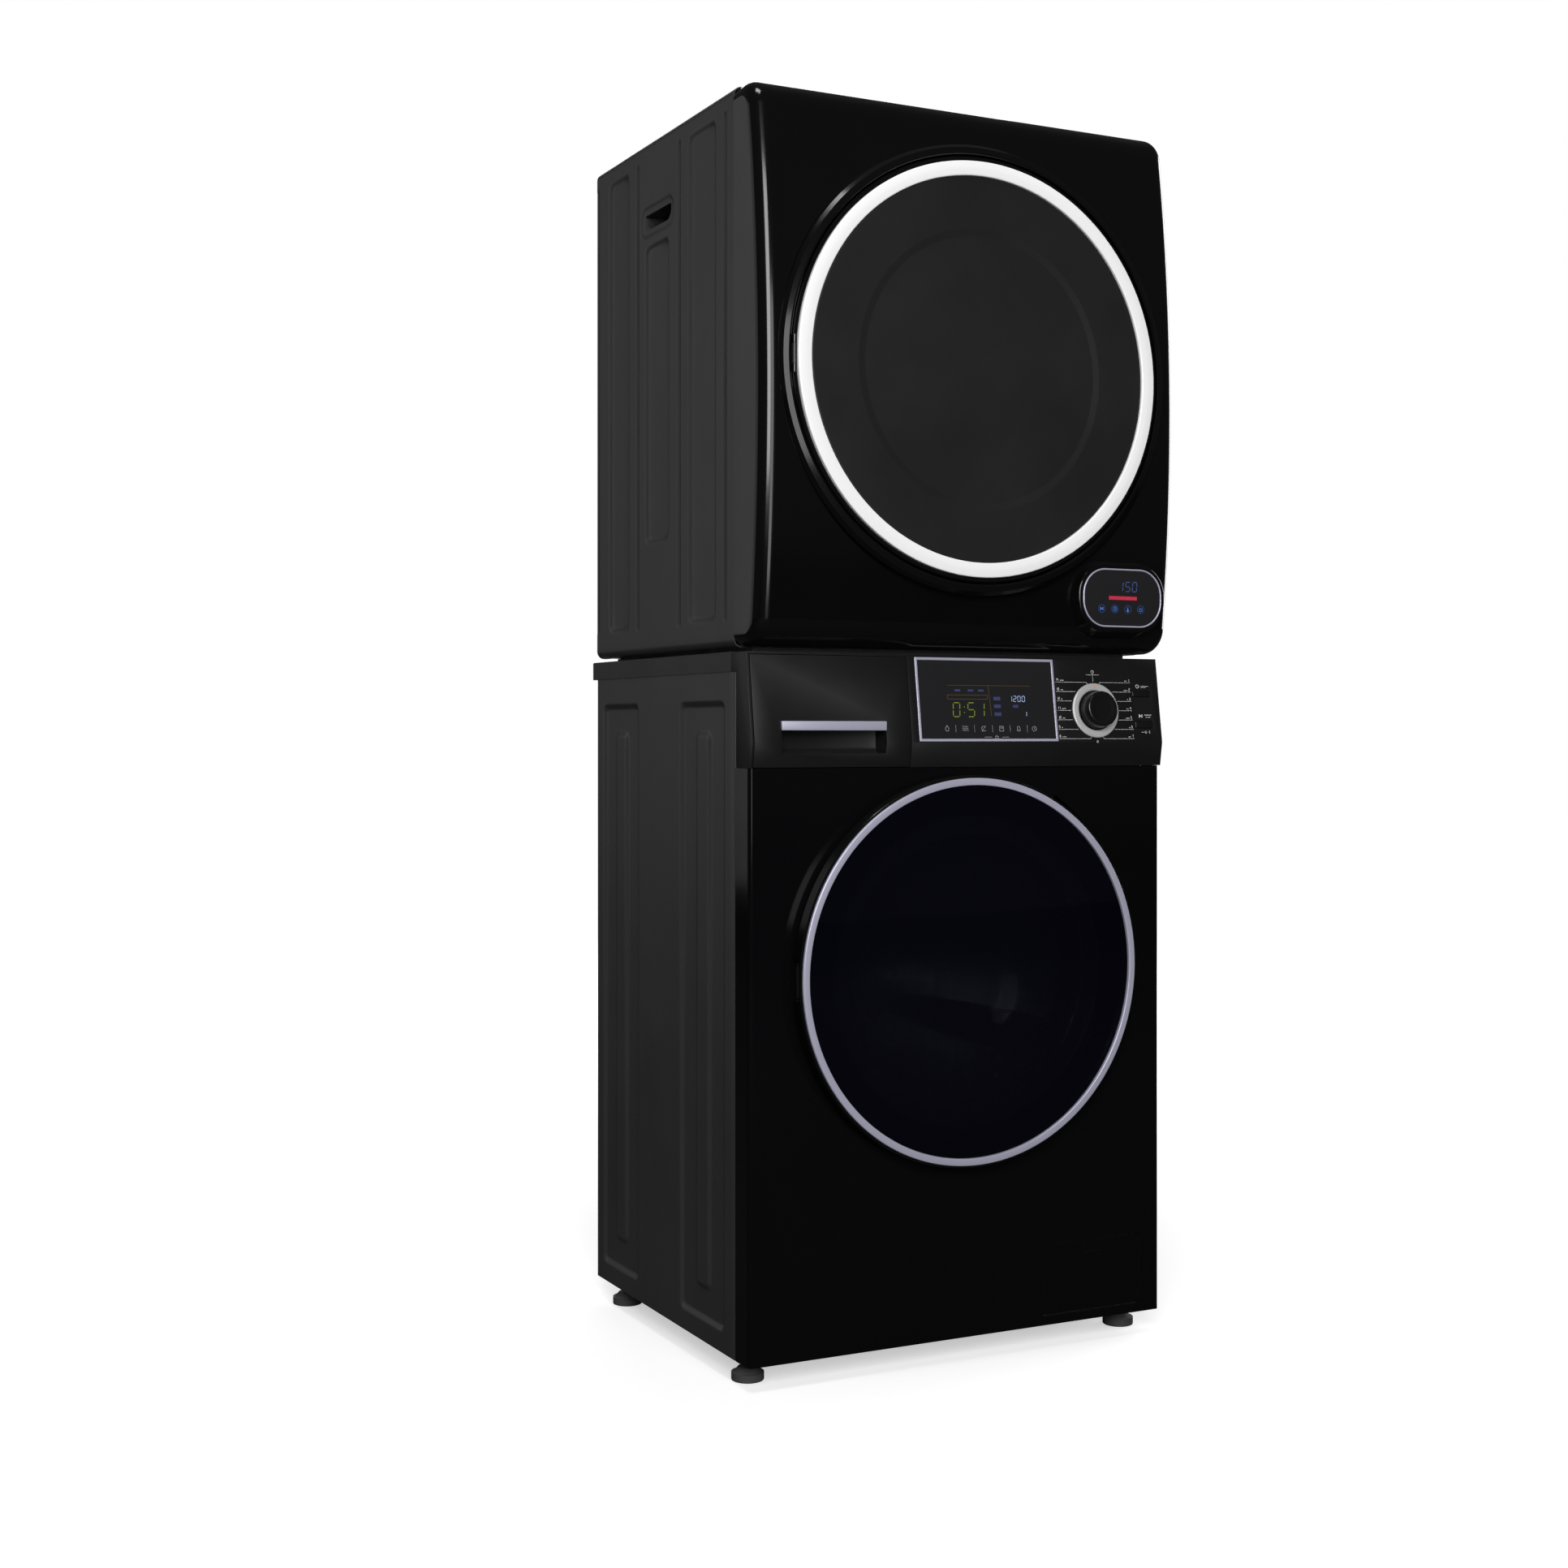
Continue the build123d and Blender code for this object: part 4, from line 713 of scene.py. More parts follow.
def bend_wrapper():
    """The whole sheet, row by row across the machine."""
    seam, back = dryer_low.y - front_y, dryer_high.y - front_y
    marks = [m for d in grooves for m in (d - 3, d + 3)]
    marks += [m for panel in panels for m in panel[:2]] + [grip_depth - 48, grip_depth + 48]
    depths = [seam, seam + 1] + grid_lines(seam + 3, back - 1, marks, reach=9.0)[:-1] + [back - 1.0, back]
    rows = []
    for x, z, take in wrapper_path():
        row = []
        for depth in depths:
            sink = dryer_sink(depth, z) if take else 0.0
            row.append(Vector((x - math.copysign(sink, x), front_y + depth, z)) * mm)
        rows.append(row[::-1])
    return sheet_metal("dryer_wrapper", rows, "cabinet_steel")


def grip_cutter(side):
    """A bar with the half-moon outline of the hand grip."""
    place = placed((side * (wall_x - 12), front_y + grip_depth, grip_z), (0, side, 0), (0, 0, 1), (side, 0, 0))
    x, y = grip_width / 2, grip_height / 2
    outline = round_corners([(-x, -y, 16.9), (x, -y, 16.9), (x, y, 3), (-x, y, 3)], 0, 8)
    return stack("grip_cutter", [(outline, 0.0), (outline, 20.0)], place, "dark_plastic")


wrapper = carve(bend_wrapper(), grip_cutter(-1), grip_cutter(1))
clean(wrapper, 40)
hand_over(wrapper, "cabinet", "cabinet_steel", "dryer_cabinet")
print(wrapper.name, len(wrapper.data.polygons), "faces")

# %% [markdown]
# The console is a tilted moulding over the whole width. It starts as one bar with the right profile. The
# hollow, the drawer's opening and the holes for display, dial and buttons are cut out, and only then are all
# the edges rounded together, so that every cut gets the same soft lip.

# %% Console shell
lip_depth, lip_z = -3.0, console_low.z
shell_depth, ledge_z, wall = 35, 858.2, 2.6
display_at, display_size = middle("display_frame"), size_of("display_frame")
display_tall = display_size.z / math.cos(lean)
drawer_low, drawer_high = span("detergent_drawer")
drawer_edge = drawer_high.x + 1.0
keys = ("power_button", "start_button")


def facet_hole(width, height, x, z, corner):
    """A cutter square to the tilted face."""
    outline = rounded_rectangle(width, height, corner, 4)
    return stack("hole", [(outline, -12.0), (outline, 6.0)], on_console(x, z), "dark_plastic")


def build_console():
    """A bar with the console's profile, hollowed out, with openings for the drawer and the controls."""
    back, half_width = console_high.y - front_y, console_high.x
    outline = [(lip_depth, lip_z), (crease_depth, crease_z), (facet_top_depth, facet_top_z),
               (back, facet_top_z), (back, ledge_z), (shell_depth, ledge_z), (shell_depth, lip_z)]
    shell = bar("console_shell", outline, -half_width, half_width, "console_plastic")
    below, roof, past_back, left = lip_z - 1, facet_top_z - wall, 60, drawer_low.x - 1.2
    hollow = [(lip_depth + wall, below), (lip_depth + wall, lip_z + 1), (crease_depth + wall, crease_z),
              (facet_top_depth + wall, roof), (past_back, roof), (past_back, below)]
    carve(shell, bar("hollow", hollow, drawer_edge + wall, half_width - 4, "dark_plastic"),
          box(left, drawer_edge, -20, 31, below, roof),
          box(left, drawer_edge - 0.1, 30.9, past_back, below, roof),
          facet_hole(display_size.x + 0.3, display_tall + 0.1, display_at.x, display_at.z, 0.4),
          facet_hole(16, 16, dial_x, dial_z, 8))
    for key in keys:
        at, size = middle(key), size_of(key)
        carve(shell, facet_hole(size.x + 0.8, size.z + 0.7, at.x, at.z, 1.6))
    return soften(shell, 0.7)


hand_over(build_console(), "cabinet", "console_plastic", "console")
print("console leans back", round(math.degrees(lean), 2), "degrees")

# %% [markdown]
# The drawer's face continues the console's profile. The hand reaches under the silver bar into a pocket that
# turns upwards behind it. Behind the face hangs the tray with its three compartments, each with rounded
# inside corners so that powder washes out.

# %% Drawer
bar_low, bar_high = span("drawer_handle_trim")
compartments = ((-281.5, -191, 30, 150), (-189, -94.5, 30, 237.5), (-281.5, -191, 152, 237.5))


def build_drawer_face():
    """The face with its finger pocket."""
    back, top = 28, drawer_high.z
    outline = [(lip_depth + 0.1, drawer_low.z), (crease_depth, crease_z), (facet_depth(top), top),
               (back, top), (back, drawer_low.z)]
    face = bar("drawer_face", outline, drawer_low.x, drawer_high.x, "console_plastic")
    inner, ahead, rise = 22, -12, bar_low.z + 12
    pocket = round_corners([(ahead, 759), (inner, 759, 9), (inner, rise, 6), (4, rise), (4, bar_high.z),
                            (ahead, bar_high.z)], 0, 5)
    return soften(carve(face, bar("pocket", pocket, bar_low.x, bar_high.x, "console_plastic")), 0.8)


def build_tray():
    """A block with three compartments, each a stack of outlines from its rounded floor up."""
    tray = box(-284.0, -92.0, 27.5, 240, 776, 842)
    tray.name = "drawer_tray"
    for left, right, front, back in compartments:
        place = placed(((left + right) / 2, front_y + (front + back) / 2, 0), (1, 0, 0), (0, 1, 0), (0, 0, 1))
        layers = [(rounded_rectangle(right - left - less, back - front - less, corner, 5), rise)
                  for less, corner, rise in ((6, 5, 779.0), (2, 7, 780.5), (0, 8, 783.0), (0, 8, 850.0))]
        carve(tray, stack("compartment", layers, place, "grey_plastic"))
    return soften(tray, 0.6, 2)


hand_over(build_drawer_face(), "detergent_drawer", "console_plastic", "detergent_drawer")
hand_over(build_tray(), "detergent_drawer", "grey_plastic")
handle = soften(box(bar_low.x, bar_high.x, bar_low.y - front_y, bar_high.y - front_y, bar_low.z, bar_high.z,
                    "silver_trim"), 0.9)
handle.name = "drawer_handle_bar"
hand_over(handle, "detergent_drawer", "silver_trim", "drawer_handle_trim")

# %% [markdown]
# The display is a smoked window inside a raised silver frame. Both sit on the console's tilted face, so they
# are drawn flat and placed by the console's matrix.

# %% Display window and frame
display_sink, border = -2.4, 3.5
frame_size = (display_size.x, display_tall - 0.4)
glass_size = (frame_size[0] - 2 * border, frame_size[1] - 2 * border)
on_display = on_console(display_at.x, display_at.z)
window = slab("display_pane", *glass_size, 0.5, display_sink, 0.2, 0.15, on_display, "display_glass", 3)
hand_over(window, "cabinet", "display_glass", "display_window")
surround = rim("display_surround", (*frame_size, 1.2), (*glass_size, 0.6), display_sink, 0.9, 0.7,
               on_display, "silver_trim", 4)
hand_over(surround, "cabinet", "silver_trim", "display_frame")

# %% [markdown]
# The dial is turned. Its ring has fine radial ribs, the knob a ribbed skirt and a slightly dished top. Ribs
# are real geometry: the radius of the marked outline points swells and shrinks as the outline swings round.

# %% Dial ring, knob and buttons
on_dial = on_console(dial_x, dial_z)
ring_r = size_of("dial_ring").x / 2
ring_outline = round_corners([(26.0, 0.05), (ring_r, 0.05), (ring_r, 1.5), (ring_r - 1.6, 2.4), (28.0, 2.4),
                              (26.0, 1.4)], 0.5, 2)
dial = turn("dial_bezel", [(*p, 1) if p[0] > 30 and p[1] > 0.5 else p for p in ring_outline], on_dial,
            "dial_silver", steps=720, ribs=120, rib_depth=0.35)
hand_over(dial, "cabinet", "silver_trim", "dial_ring")

knob_top, skirt, shaft_r = 19.0, 24.4, 3.9
knob_outline = round_corners([(0, 0.9, 0), (skirt, 0.9, 0.4), (skirt, 5.6, 1.2), (skirt - 1.0, 6.4, 0.6),
                              (skirt - 1.9, knob_top, 2.4), (17, knob_top - 0.2, 3),
                              (12, knob_top - 0.8, 4), (0, knob_top - 1.0, 0)], 0.5, 4)
grip = turn("dial_knob", [(*p, 1) if 7.0 < p[1] < knob_top - 2.5 else tuple(p) for p in knob_outline],
            on_dial, "knob_black", steps=480, ribs=60, rib_depth=0.35)
shaft = turn("dial_shaft", [(0, -19.5), (shaft_r, -19.5), (shaft_r, 1.2), (0, 1.2)], on_dial,
             "dark_plastic", steps=48)
hand_over(grip, "program_knob", "knob_black", "program_knob")
hand_over(shaft, "program_knob", "dark_plastic")

for key in keys:
    at, size = middle(key), size_of(key)
    on_key = on_console(at.x, at.z)
    cap = slab(key + "_cap", size.x, size.z * 0.985, 1.4, -3.0, 1.2, 0.7, on_key, "knob_black", 5)
    hand_over(cap, key, "knob_black", key)
    stem = slab(key + "_stem", 5, 4, 0.4, -9.3, -2.8, 0.2, on_key, "dark_plastic", 3)
    hand_over(stem, key, "dark_plastic")
print("dial ring radius", round(ring_r, 1), "mm, knob stands", knob_top, "mm proud")

# %% [markdown]
# Numbers, lines and symbols are printed or lit. Each is a stroke: a path with a width, raised a hair off the
# surface so that it is a solid of its own. Digits use the seven bars of a segment display. The wording of a
# real panel is left out, and plain numbers, bars and common symbols take its place.

# %% Inks and lamps
def ink(title, colour, lamp=None):
    """Printed ink, or a lit lamp when it has a lamp colour. The tone wanders a little either way."""
    made, tree, shader = blank(title)
    grains = place_group(tree, grain, fine=1500.0, slow=160.0)
    cloud = grains.outputs["Cloud"]
    feed(tree, shader, {"Base Color": mixed(tree, cloud, shade(colour, 0.8), shade(colour, 1.2)),
                        "Roughness": 0.5})
    if lamp:
        feed(tree, shader, {"Emission Color": mixed(tree, cloud, shade(lamp, 0.75), shade(lamp, 1.25)),
                            "Emission Strength": 1.0})
    finishes[title] = made


for title, *colours in (
        ("ink_white", (0.62, 0.62, 0.63)), ("ink_grey", (0.30, 0.30, 0.31)),
        ("lamp_green", (0.05, 0.07, 0.01), (0.115, 0.150, 0.012)),
        ("lamp_amber", (0.02, 0.012, 0.004), (0.060, 0.034, 0.006)),
        ("lamp_white", (0.10, 0.12, 0.2), (0.42, 0.52, 0.95)),
        ("lamp_blue", (0.01, 0.012, 0.03), (0.018, 0.024, 0.095)),
        ("lamp_sky", (0.02, 0.05, 0.15), (0.045, 0.150, 0.560)),
        ("lamp_ring", (0.01, 0.02, 0.06), (0.020, 0.060, 0.240)),
        ("lamp_digit", (0.01, 0.02, 0.06), (0.050, 0.085, 0.260)),
        ("lamp_red", (0.10, 0.01, 0.015), (0.40, 0.012, 0.040)),
        ("lamp_orange", (0.2, 0.05, 0.02), (0.55, 0.12, 0.05))):
    ink(title, *colours)

# %% Strokes
ink_rise, ink_thick = 0.02, 0.08


def print_strokes(name, strokes, place, slot, colour, rise=ink_rise, thickness=ink_thick):
    """Make one solid from strokes of (path, width, closed)."""
    points, faces = [], []
    for path, width, closed in strokes:
        path = [Vector(p) for p in path]
        count = len(path)
        first = len(points)
        for number, here in enumerate(path):
            runs = []
            if number > 0 or closed:
                runs.append((here - path[number - 1]).normalized())
            if number < count - 1 or closed:
                runs.append((path[(number + 1) % count] - here).normalized())
            along = sum(runs, Vector((0, 0))).normalized()
            stretch = 1 / max(0.35, along.dot(runs[0]))
            side = Vector((-along.y, along.x)) * (width / 2 * stretch)
            for edge in (here + side, here - side):
                points += [place @ Vector((*edge, rise)), place @ Vector((*edge, rise + thickness))]
        for number in range(count if closed else count - 1):
            a = first + number * 4
            b = first + (number + 1) % count * 4
            faces += [(a + 1, b + 1, b + 3, a + 3), (a, a + 2, b + 2, b), (a, b, b + 1, a + 1),
                      (a + 2, a + 3, b + 3, b + 2)]
        if not closed:
            last = first + (count - 1) * 4
            faces += [(first, first + 1, first + 3, first + 2), (last, last + 2, last + 3, last + 1)]
    hand_over(solid(name, points, faces, colour), "cabinet", slot)


# The usual strokes: a level dash, an open line, a closed loop and a full circle.
def dash(x0, x1, y, width):
    return [(x0, y), (x1, y)], width, False


def line(width, *points):
    return points, width, False


def loop(width, *points):
    return points, width, True


def arc(x, y, radius, start=0.0, end=360.0, steps=24):
    """Points on a circle. A full turn leaves out its last point, for a closed stroke."""
    count = steps if abs(end - start) >= 360 else steps + 1
    turns = [math.radians(start + (end - start) * k / steps) for k in range(count)]
    return [(x + radius * math.cos(t), y + radius * math.sin(t)) for t in turns]


def hoop(x, y, radius, width):
    return arc(x, y, radius), width, True


bars_of = {"0": "abcdef", "1": "bc", "2": "abged", "3": "abgcd", "4": "fgbc", "5": "afgcd", "6": "afgedc",
           "7": "abc", "8": "abcdefg", "9": "abcdfg"}
bar_ends = {"a": ((0, 1), (1, 1)), "b": ((1, 1), (1, 0.5)), "c": ((1, 0.5), (1, 0)), "d": ((0, 0), (1, 0)),
            "e": ((0, 0.5), (0, 0)), "f": ((0, 1), (0, 0.5)), "g": ((0, 0.5), (1, 0.5))}


def number_strokes(text, x, y, wide, tall, width, gap=0.0, slant=0.0, pitch=1.55):
    """Strokes for digits whose lower left corner is at x, y. A colon takes half a place."""
    strokes = []
    for sign in text:
        if sign == ":":
            for level in (0.3, 0.7):
                dot_x = x + 0.2 * wide + slant * tall * level
                dot_y = y + level * tall
                strokes.append(dash(dot_x - width / 2, dot_x + width / 2, dot_y, width))
            x += wide * 0.75
            continue
        for name in bars_of.get(sign, ""):
            (ax, ay), (bx, by) = bar_ends[name]
            a = Vector((x + ax * wide + slant * tall * ay, y + ay * tall))
            b = Vector((x + bx * wide + slant * tall * by, y + by * tall))
            trim = (b - a).normalized() * gap
            strokes.append(([a + trim, b - trim], width, False))
        x += wide * pitch
    return strokes

# %% [markdown]
# The washer's display shows a time in green, a speed in cold white and thin amber rules. Faint blue tabs
# stand where the captions of a real display would be, and a row of touch keys runs along the bottom.

# %% Washer display
def display_strokes():
    """Time, rules, speed and tabs, each for its own lamp colour."""
    time = number_strokes("0:51", -51.5, -21.5, 9.5, 17.5, 1.15, 1.1, 0.06, 1.5)
    rules = [dash(-57, 65, 18, 0.45), line(0.6, (2.2, 18), (4.5, -21)),
             loop(0.6, (-58, 5.8), (0, 5.8), (0, 0.6), (-58, 0.6))]
    speed = number_strokes("1200", 32.0, -2.0, 4.0, 7.0, 0.55, 0.35, 0.05, 1.6)
    speed += number_strokes("1", 53.0, -20.5, 3.6, 5.4, 0.8, 0.4, 0.05)
    tabs = [dash(x - 4, x + 4, 11.6, 2.6) for x in (-43, -24, -9)]
    tabs += [dash(9, 19, z, 4.4) for z in (1.6, -8.2, -18.2)] + [dash(37, 45, -8.0, 3.6)]
    return time, rules, speed, tabs


def key_symbols():
    """Six touch keys as plain symbols: drop, rinse waves, no turn, memory, bell and clock."""
    y = -36.6
    strokes = [loop(0.55, (-61.7, y + 4.2), *arc(-61.7, y - 0.6, 2.5, 150, 390, 14))]
    for level in (-2, 0.4, 2.8):
        strokes.append(line(0.5, *((-35.3 - 4.5 + k * 0.75, y + level + 0.7 * math.sin(k * 1.05))
                                   for k in range(13))))
    strokes += [line(0.55, *arc(-8.4, y, 3.1, 60, 330, 20)), line(0.55, (-11.6, y - 3.4), (-5.2, y + 3.6))]
    strokes += [loop(0.55, (14.8, y - 3), (14.8, y + 3), (20.4, y + 3), (20.4, y - 3)),
                line(0.45, (16.2, y + 3), (16.2, y + 0.6), (19, y + 0.6), (19, y + 3))]
    strokes += [loop(0.55, (40.6, y - 2.2), (41.6, y - 1), *arc(43.3, y + 1, 1.9, 180, 0, 10),
                     (45, y - 1), (46, y - 2.2)), dash(42.6, 44, y - 3.2, 0.6)]
    strokes += [hoop(66.6, y, 3.1, 0.55), line(0.5, (66.6, y + 2), (66.6, y), (68.1, y - 0.9))]
    strokes += [line(0.4, (x, y - 4.6), (x, y + 4.6)) for x in (-49.2, -22, 4.4, 30.5, 56)]
    strokes += [dash(x, x + 10.4, -47.2, 0.45) for x in (-7.8, 18)]
    strokes += [loop(0.4, (7.6, -48.6), (7.6, -46.6), (12.4, -46.6), (12.4, -48.6)),
                line(0.4, *arc(10.0, -46.6, 1.5, 0, 180, 8))]
    return strokes


glass_face = 0.22
for name, strokes, colour in zip(("time", "rules", "speed", "tabs", "keys"),
                                 (*display_strokes(), key_symbols()),
                                 ("lamp_green", "lamp_amber", "lamp_white", "lamp_blue", "ink_grey")):
    print_strokes("display_" + name, strokes, on_display, "display_glass", colour, glass_face)

# %% [markdown]
# Round the dial run fourteen settings, seven on a side. Each has a thin rule that leads to the ring, with a
# number and one to three dots above it. The setting at the top is a small circle on a longer rule. A small
# orange lamp on the ring is the pointer.

# %% Dial markings
def dial_strokes():
    """The rules round the dial, and the numbers, dots and circles beside them."""
    rules, numbers = [], []
    row, reach, outer, digit = 12.2, 37.2, 57.5, 1.5
    number = 1
    for side in (1, -1):
        for level in (range(3, -4, -1) if side > 0 else range(-3, 4)):
            y = level * row
            start = math.sqrt(max(reach ** 2 - y ** 2, 0)) if abs(level) < 3 else 10.5
            path = [(side * start, y), (side * 58, y)]
            if abs(level) == 3:
                path = [(side * (start - 2), y - math.copysign(2.6, y)), *path]
            rules.append(line(0.42, *path))
            wide = digit * 1.65 * len(str(number))
            x = outer - wide if side > 0 else -outer
            numbers += number_strokes(str(number), x, y + 1.7, digit, 3.0, 0.48, 0, 0, 1.65)
            for dot in range(1 + number % 3):
                mark = x - 3 - 2.1 * dot if side > 0 else x + wide + 2.4 + 2.1 * dot
                numbers.append(dash(mark - 0.55, mark + 0.55, y + 2.3, 1.1))
            number += 1
    rules += [dash(-10, 10, 46.5, 0.42), line(0.42, (0, 46.5), (0, 37.4))]
    return rules, numbers + [hoop(0, 50.2, 1.9, 0.55), hoop(0, -40.2, 1.2, 0.5)]


dial_rules, dial_numbers = dial_strokes()
print_strokes("dial_rules", dial_rules, on_dial, "console_plastic", "ink_white")
print_strokes("dial_numbers", dial_numbers, on_dial, "console_plastic", "ink_white")
print_strokes("dial_pointer", [dash(-1.6, 1.6, 31, 1.7)], on_dial, "silver_trim", "lamp_orange", 2.36, 0.14)

# %% [markdown]
# The power and start keys carry the symbols that everyone knows: a broken ring with a bar, and a triangle
# with two bars. They are printed on the console just above each key.

# %% Key symbols
def power_symbol(x, y, size, width):
    return [line(width, *arc(x, y, size, 125, 415, 22)), line(width, (x, y + size * 1.15), (x, y + size * 0.1))]


def play_symbol(x, y, size, width):
    bars = [line(width, (x + size * s, y - size), (x + size * s, y + size)) for s in (0.75, 1.35)]
    return [loop(width, (x - size, y - size), (x - size, y + size), (x + size * 0.35, y)),
            hoop(x - size * 0.5, y, size * 0.22, size * 0.42), *bars]


strokes = power_symbol(69, 32.3, 2.3, 0.75) + [dash(74, 86, 32.3, 0.6), dash(74, 82, 30.6, 0.45)]
strokes += play_symbol(70.5, -6.8, 2.1, 0.6) + [dash(76.5, 87.5, -5.6, 0.7), dash(78, 86, -8.4, 0.55)]
strokes += number_strokes("3", 82, -29.6, 1.4, 2.8, 0.45)
strokes += [hoop(77, -28.2, 1.3, 0.5), dash(70, 74, -28.2, 0.5)]
print_strokes("key_symbols", strokes, on_dial, "console_plastic", "ink_white")

# %% [markdown]
# The washer's door carries a bulged pane in a thin silver ring, with a deep glass bowl behind it. Pane, ring
# and bowl are all turned about the same axis. The pane's outline is a true circular arc, because a bulge made
# of a few straight steps would break every reflection.

# %% Washer door
def turned(name, outline, place, slot, body, stands_for, steps):
    """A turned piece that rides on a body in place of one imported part."""
    return hand_over(turn(name, outline, place, slot, steps), body, slot, stands_for)


def crown_line(radius, rim_rise, crown, steps):
    """From the middle of a bulged pane out to its rim, on a sphere."""
    ball = (radius ** 2 + crown ** 2) / (2 * crown)
    radii = [radius * k / steps for k in range(steps + 1)]
    return [(r, rim_rise + crown - ball + math.sqrt(ball ** 2 - r ** 2)) for r in radii]


on_washer_door = on_front(0, washer_z)
pane_r, pane_rim, pane_crown, pane_thick = 229.9, 25.6, 10.5, 4.2
outer_line = crown_line(pane_r - 0.6, pane_rim, pane_crown, 40)
inner_line = crown_line(pane_r - 3.6, pane_rim - pane_thick, pane_crown, 30)[::-1]
pane_line = [*outer_line, (pane_r, pane_rim - 0.5), (pane_r, pane_rim - pane_thick), *inner_line]
ring_line = round_corners([(230.3, 24.1), (239.5, 24.1), (239.5, 28.4, 1.6), (230.5, 28.6, 1.2)], 0.2, 5)
bowl_line = round_corners([(195.8, 12, 0.8), (195.8, 8.1, 0.8), (172, 8.1, 3), (168, -10, 10),
                           (152, -46, 40), (128, -70, 25), (104, -78, 20), (0, -80, 0), (0, -76, 0),
                           (102, -74, 20), (125, -66.5, 20), (148, -43, 35), (164, -9, 8), (168, 12, 1)],
                          1, 6)
for name, outline, slot, stands_for, steps in (
        ("washer_door_pane", pane_line, "door_glass", "washer_door_glass", 256),
        ("washer_door_bezel", ring_line, "silver_trim", "washer_door_ring", 288),
        ("washer_door_glass_bowl", bowl_line, "bowl_glass", "washer_door_bowl", 192)):
    made = turned(name, outline, on_washer_door, slot, "washer_door", stands_for, steps)
    print(made.name, len(made.data.polygons), "faces")

# %% [markdown]
# The dryer's door is a shallow dished disc inside a broad white ring. The ring's face is almost flat, with
# small rounded shoulders, so that it reads as one even band of white from every side.

# %% Dryer door
on_dryer_door = on_front(0, dryer_z)
white_in, white_out, disc_r, seat, shoulder = 237.1, 255.4, 236.8, 40.05, 47.2
white_line = round_corners([(white_in, seat, 0), (white_out, seat, 0), (white_out, shoulder, 1.8),
                            (246.2, 47.7, 30), (white_in, shoulder, 1.8)], 0, 6)
disc_line = round_corners([(0, 38.4, 0), (229.6, 38.4, 0.5), (229.6, seat, 0), (disc_r, seat, 0),
                           (disc_r, 44.2, 0.8), (234.6, 44.6, 1.2), (173, 43.8, 14), (164, 42.4, 14),
                           (0, 41.9, 0)], 0, 6)
turned("dryer_door_white_ring", white_line, on_dryer_door, "white_trim", "dryer_door", "dryer_door_ring", 320)
turned("dryer_door_dished_disc", disc_line, on_dryer_door, "door_disc", "dryer_door", "dryer_door_disc", 256)
print("white ring", round(white_out - white_in, 1), "mm broad")

# %% [markdown]
# The dryer's controls sit on a small pod that grows out of the fascia. A thin bright line frames its window.
# The window shows a number, a red bar and four touch keys, each a small symbol in a circle.

# %% Control pod
pod_at, pod_size, line_wide = middle("pod_ring"), size_of("pod_ring"), 2.3
on_pod = on_front(pod_at.x, pod_at.z)
seat_rise = front_y - span("pod_ring")[1].y
pod_seat, pod_face = seat_rise + 0.02, seat_rise + 2.0
inside = (pod_size.x - 2 * line_wide, pod_size.z - 2 * line_wide)
bezel = rim("pod_bezel", (pod_size.x - 0.2, pod_size.z - 0.2, 33.8), (*inside, 31.6), pod_seat,
            seat_rise + 2.9, 1.0, on_pod, "silver_trim", 14)
hand_over(bezel, "cabinet", "silver_trim", "pod_ring")
screen = slab("pod_pane", inside[0] - 0.1, inside[1] - 0.1, 31.5, pod_seat, pod_face, 0.3, on_pod,
              "display_glass", 14)
hand_over(screen, "cabinet", "display_glass", "pod_window")

key_y = -14
signs = play_symbol(-32.3, key_y, 1.9, 0.5)
signs += [hoop(-12, key_y, 2.7, 0.5), line(0.5, (-12, -12), (-12, key_y), (-10.6, -14.9))]
signs += [line(1.0, (8, -11.6), (8, -14.6)), hoop(8, -16, 0.8, 1.4)] + power_symbol(28, -14.3, 2.3, 0.55)
for name, strokes, colour in (
        ("number", number_strokes("150", -6.5, 8.6, 6.6, 12.0, 0.75, 0.7, 0.08, 1.62), "lamp_digit"),
        ("bar", [dash(-21, 22, 0, 4.6)], "lamp_red"),
        ("keys", [(arc(x, key_y, 5.0, steps=32), 0.4, True) for x in (-32, -12, 8, 28)], "lamp_ring"),
        ("signs", signs, "lamp_sky")):
    print_strokes("pod_" + name, strokes, on_pod, "display_glass", colour, pod_face + 0.01)

# %% [markdown]
# The machine stands on a plain pale floor in soft studio light, against white. The camera is level and a
# little to the left of the middle, at the height of the washer's worktop, as one stands before a real pair.
# A small shift of the lens keeps the whole height in the frame while the upright edges stay upright.

# %% Camera
eye_x, eye_ahead, eye_z, heading = -1374.5, 2250.5, 782.6, -0.463
lens = bpy.data.cameras.new("main_camera")
lens.sensor_width, lens.lens, lens.shift_y, lens.clip_end = 36.0, 48.36, -0.0318, 60.0
camera = bpy.data.objects.new("main_camera", lens)
camera.location = Vector((eye_x, front_y - eye_ahead, eye_z)) * mm
camera.rotation_euler = (math.pi / 2, 0, heading)
scene.collection.objects.link(camera)
scene.camera = camera

# %% Light and surroundings
def area_light(name, place, target, size, power):
    """A softbox that looks at a target, in metres and watts. It lights the machine and never shows itself."""
    lamp = bpy.data.lights.new(name, "AREA")
    lamp.shape = "RECTANGLE"
    lamp.size, lamp.size_y = size
    lamp.energy = power
    thing = bpy.data.objects.new(name, lamp)
    scene.collection.objects.link(thing)
    thing.visible_camera = False
    thing.location = place
    thing.rotation_euler = (Vector(target) - Vector(place)).to_track_quat("-Z", "Y").to_euler()


def by_ray(tree, others, camera_rays):
    """One surface for what the camera sees, another for every other ray."""
    path = add(tree, "LightPath")
    return add(tree, "MixShader", {0: path.outputs["Is Camera Ray"], 1: others.outputs[0],
                                   2: camera_rays.outputs[0]}).outputs[0]


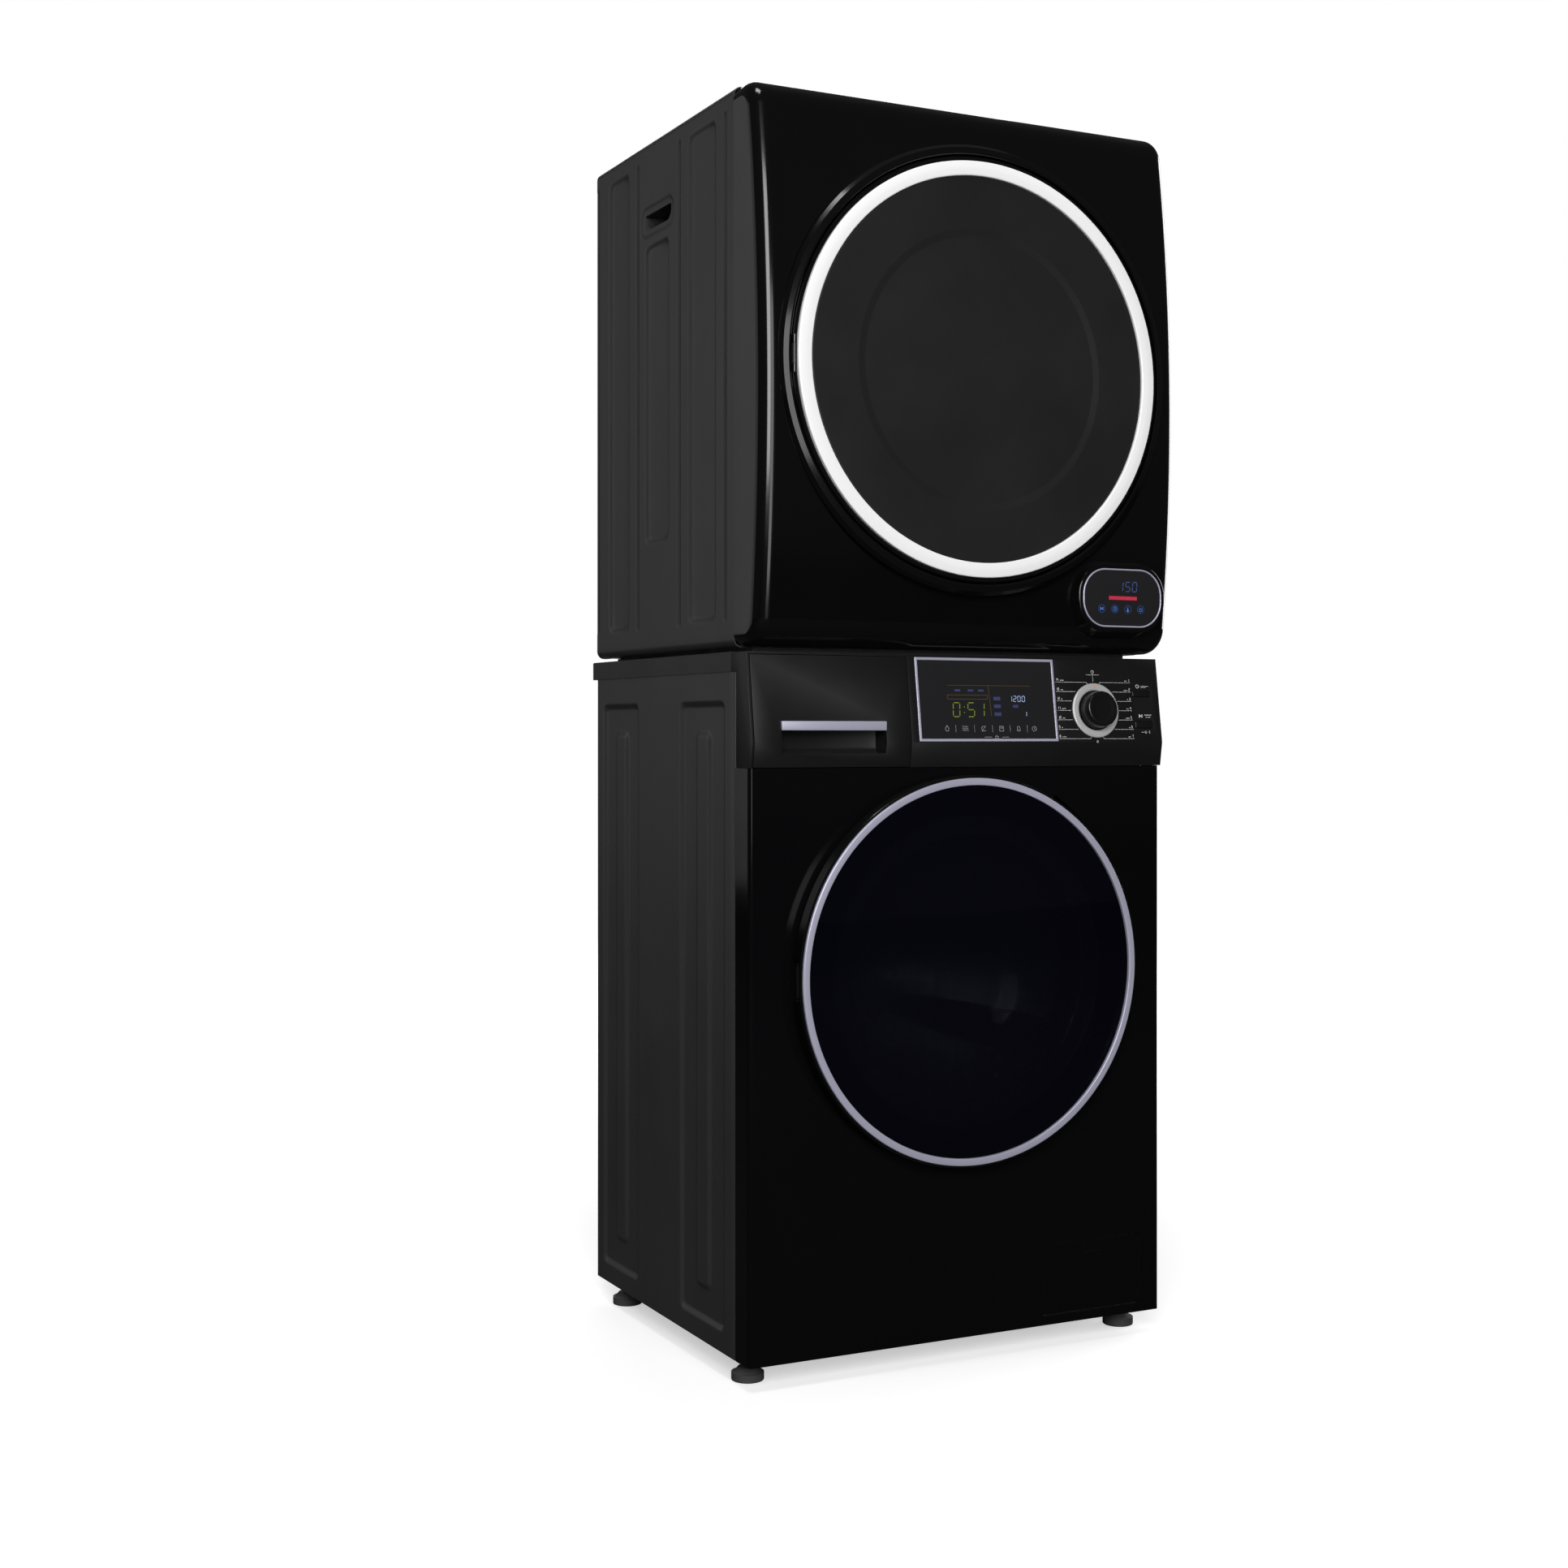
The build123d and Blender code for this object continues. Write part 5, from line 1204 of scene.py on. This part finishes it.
def surroundings():
    """White behind the machine, near black for everything that the machine mirrors."""
    scene.world = bpy.data.worlds.new("studio")
    scene.world.use_nodes = True
    tree = scene.world.node_tree
    tree.nodes.clear()
    seen = add(tree, "Background", {"Color": (1, 1, 1, 1), "Strength": 1.0})
    felt = add(tree, "Background", {"Color": (1, 1, 1, 1), "Strength": 0.05})
    add(tree, "OutputWorld", {0: by_ray(tree, felt, seen)})


surroundings()
area_light("key_left", (-2.1, -4.0, 2.3), (0, 0, 0.95), (1.8, 2.2), 160)
area_light("wall_left", (-3.6, 3.4, 1.7), (0, 0, 1.0), (3.4, 3.0), 14)
area_light("fill_front", (-0.4, -4.6, 1.5), (0, 0, 0.8), (1.6, 2.2), 55)
area_light("top_left", (-0.8, -0.65, 3.6), (-0.2, -0.2, 1.4), (0.9, 0.7), 22)
area_light("side_right", (3.8, 1.0, 1.9), (0, 0.2, 0.9), (1.6, 2.2), 60)
area_light("rear_soft", (1.6, 4.2, 2.6), (0, 0, 0.9), (2.4, 2.4), 60)

# %% [markdown]
# The floor must look pale, but polished black fronts would mirror a pale floor and turn grey. The light path
# separates the two: the camera sees a bright floor that fades to the white of the background, and every
# other ray meets a dim one.

# %% Floor
floor_reach, dim_tone, fade_start, fade_end = 14.0, 0.055, 0.5, 2.4


def pour_floor():
    """A square of floor with one surface for the camera and a dim one for all other light."""
    made, tree, dim = blank("studio_floor")
    matt = {"Roughness": 0.9, "Specular IOR Level": 0.0}
    feed(tree, dim, {"Base Color": (dim_tone, dim_tone, dim_tone, 1), **matt})
    grains = place_group(tree, grain, fine=60.0, slow=1.2)
    tone = mixed(tree, grains.outputs["Cloud"], (0.78, 0.78, 0.78, 1), (0.84, 0.84, 0.84, 1))
    away = add(tree, "VectorMath", {0: on_object(tree)}, operation="LENGTH")
    glow = add(tree, "MapRange", {"Value": away.outputs["Value"], "From Min": fade_start, "From Max": fade_end,
                                  "To Min": 0.50, "To Max": 1.0}, interpolation_type="SMOOTHSTEP")
    bright = add(tree, "BsdfPrincipled", {"Base Color": tone, "Emission Color": (1, 1, 1, 1),
                                          "Emission Strength": glow.outputs[0], **matt})
    out = next(node for node in tree.nodes if node.type == "OUTPUT_MATERIAL")
    feed(tree, out, {0: by_ray(tree, dim, bright)})
    mesh = bpy.data.meshes.new("studio_floor")
    corners = [(x * floor_reach, y * floor_reach, cad_low[2])
               for x, y in ((-1, -1), (1, -1), (1, 1), (-1, 1))]
    mesh.from_pydata(corners, [], [(0, 1, 2, 3)])
    mesh.materials.append(made)
    thing = bpy.data.objects.new("studio_floor", mesh)
    scene.collection.objects.link(thing)


pour_floor()
scene.view_settings.view_transform = "Standard"
scene.view_settings.look = "None"
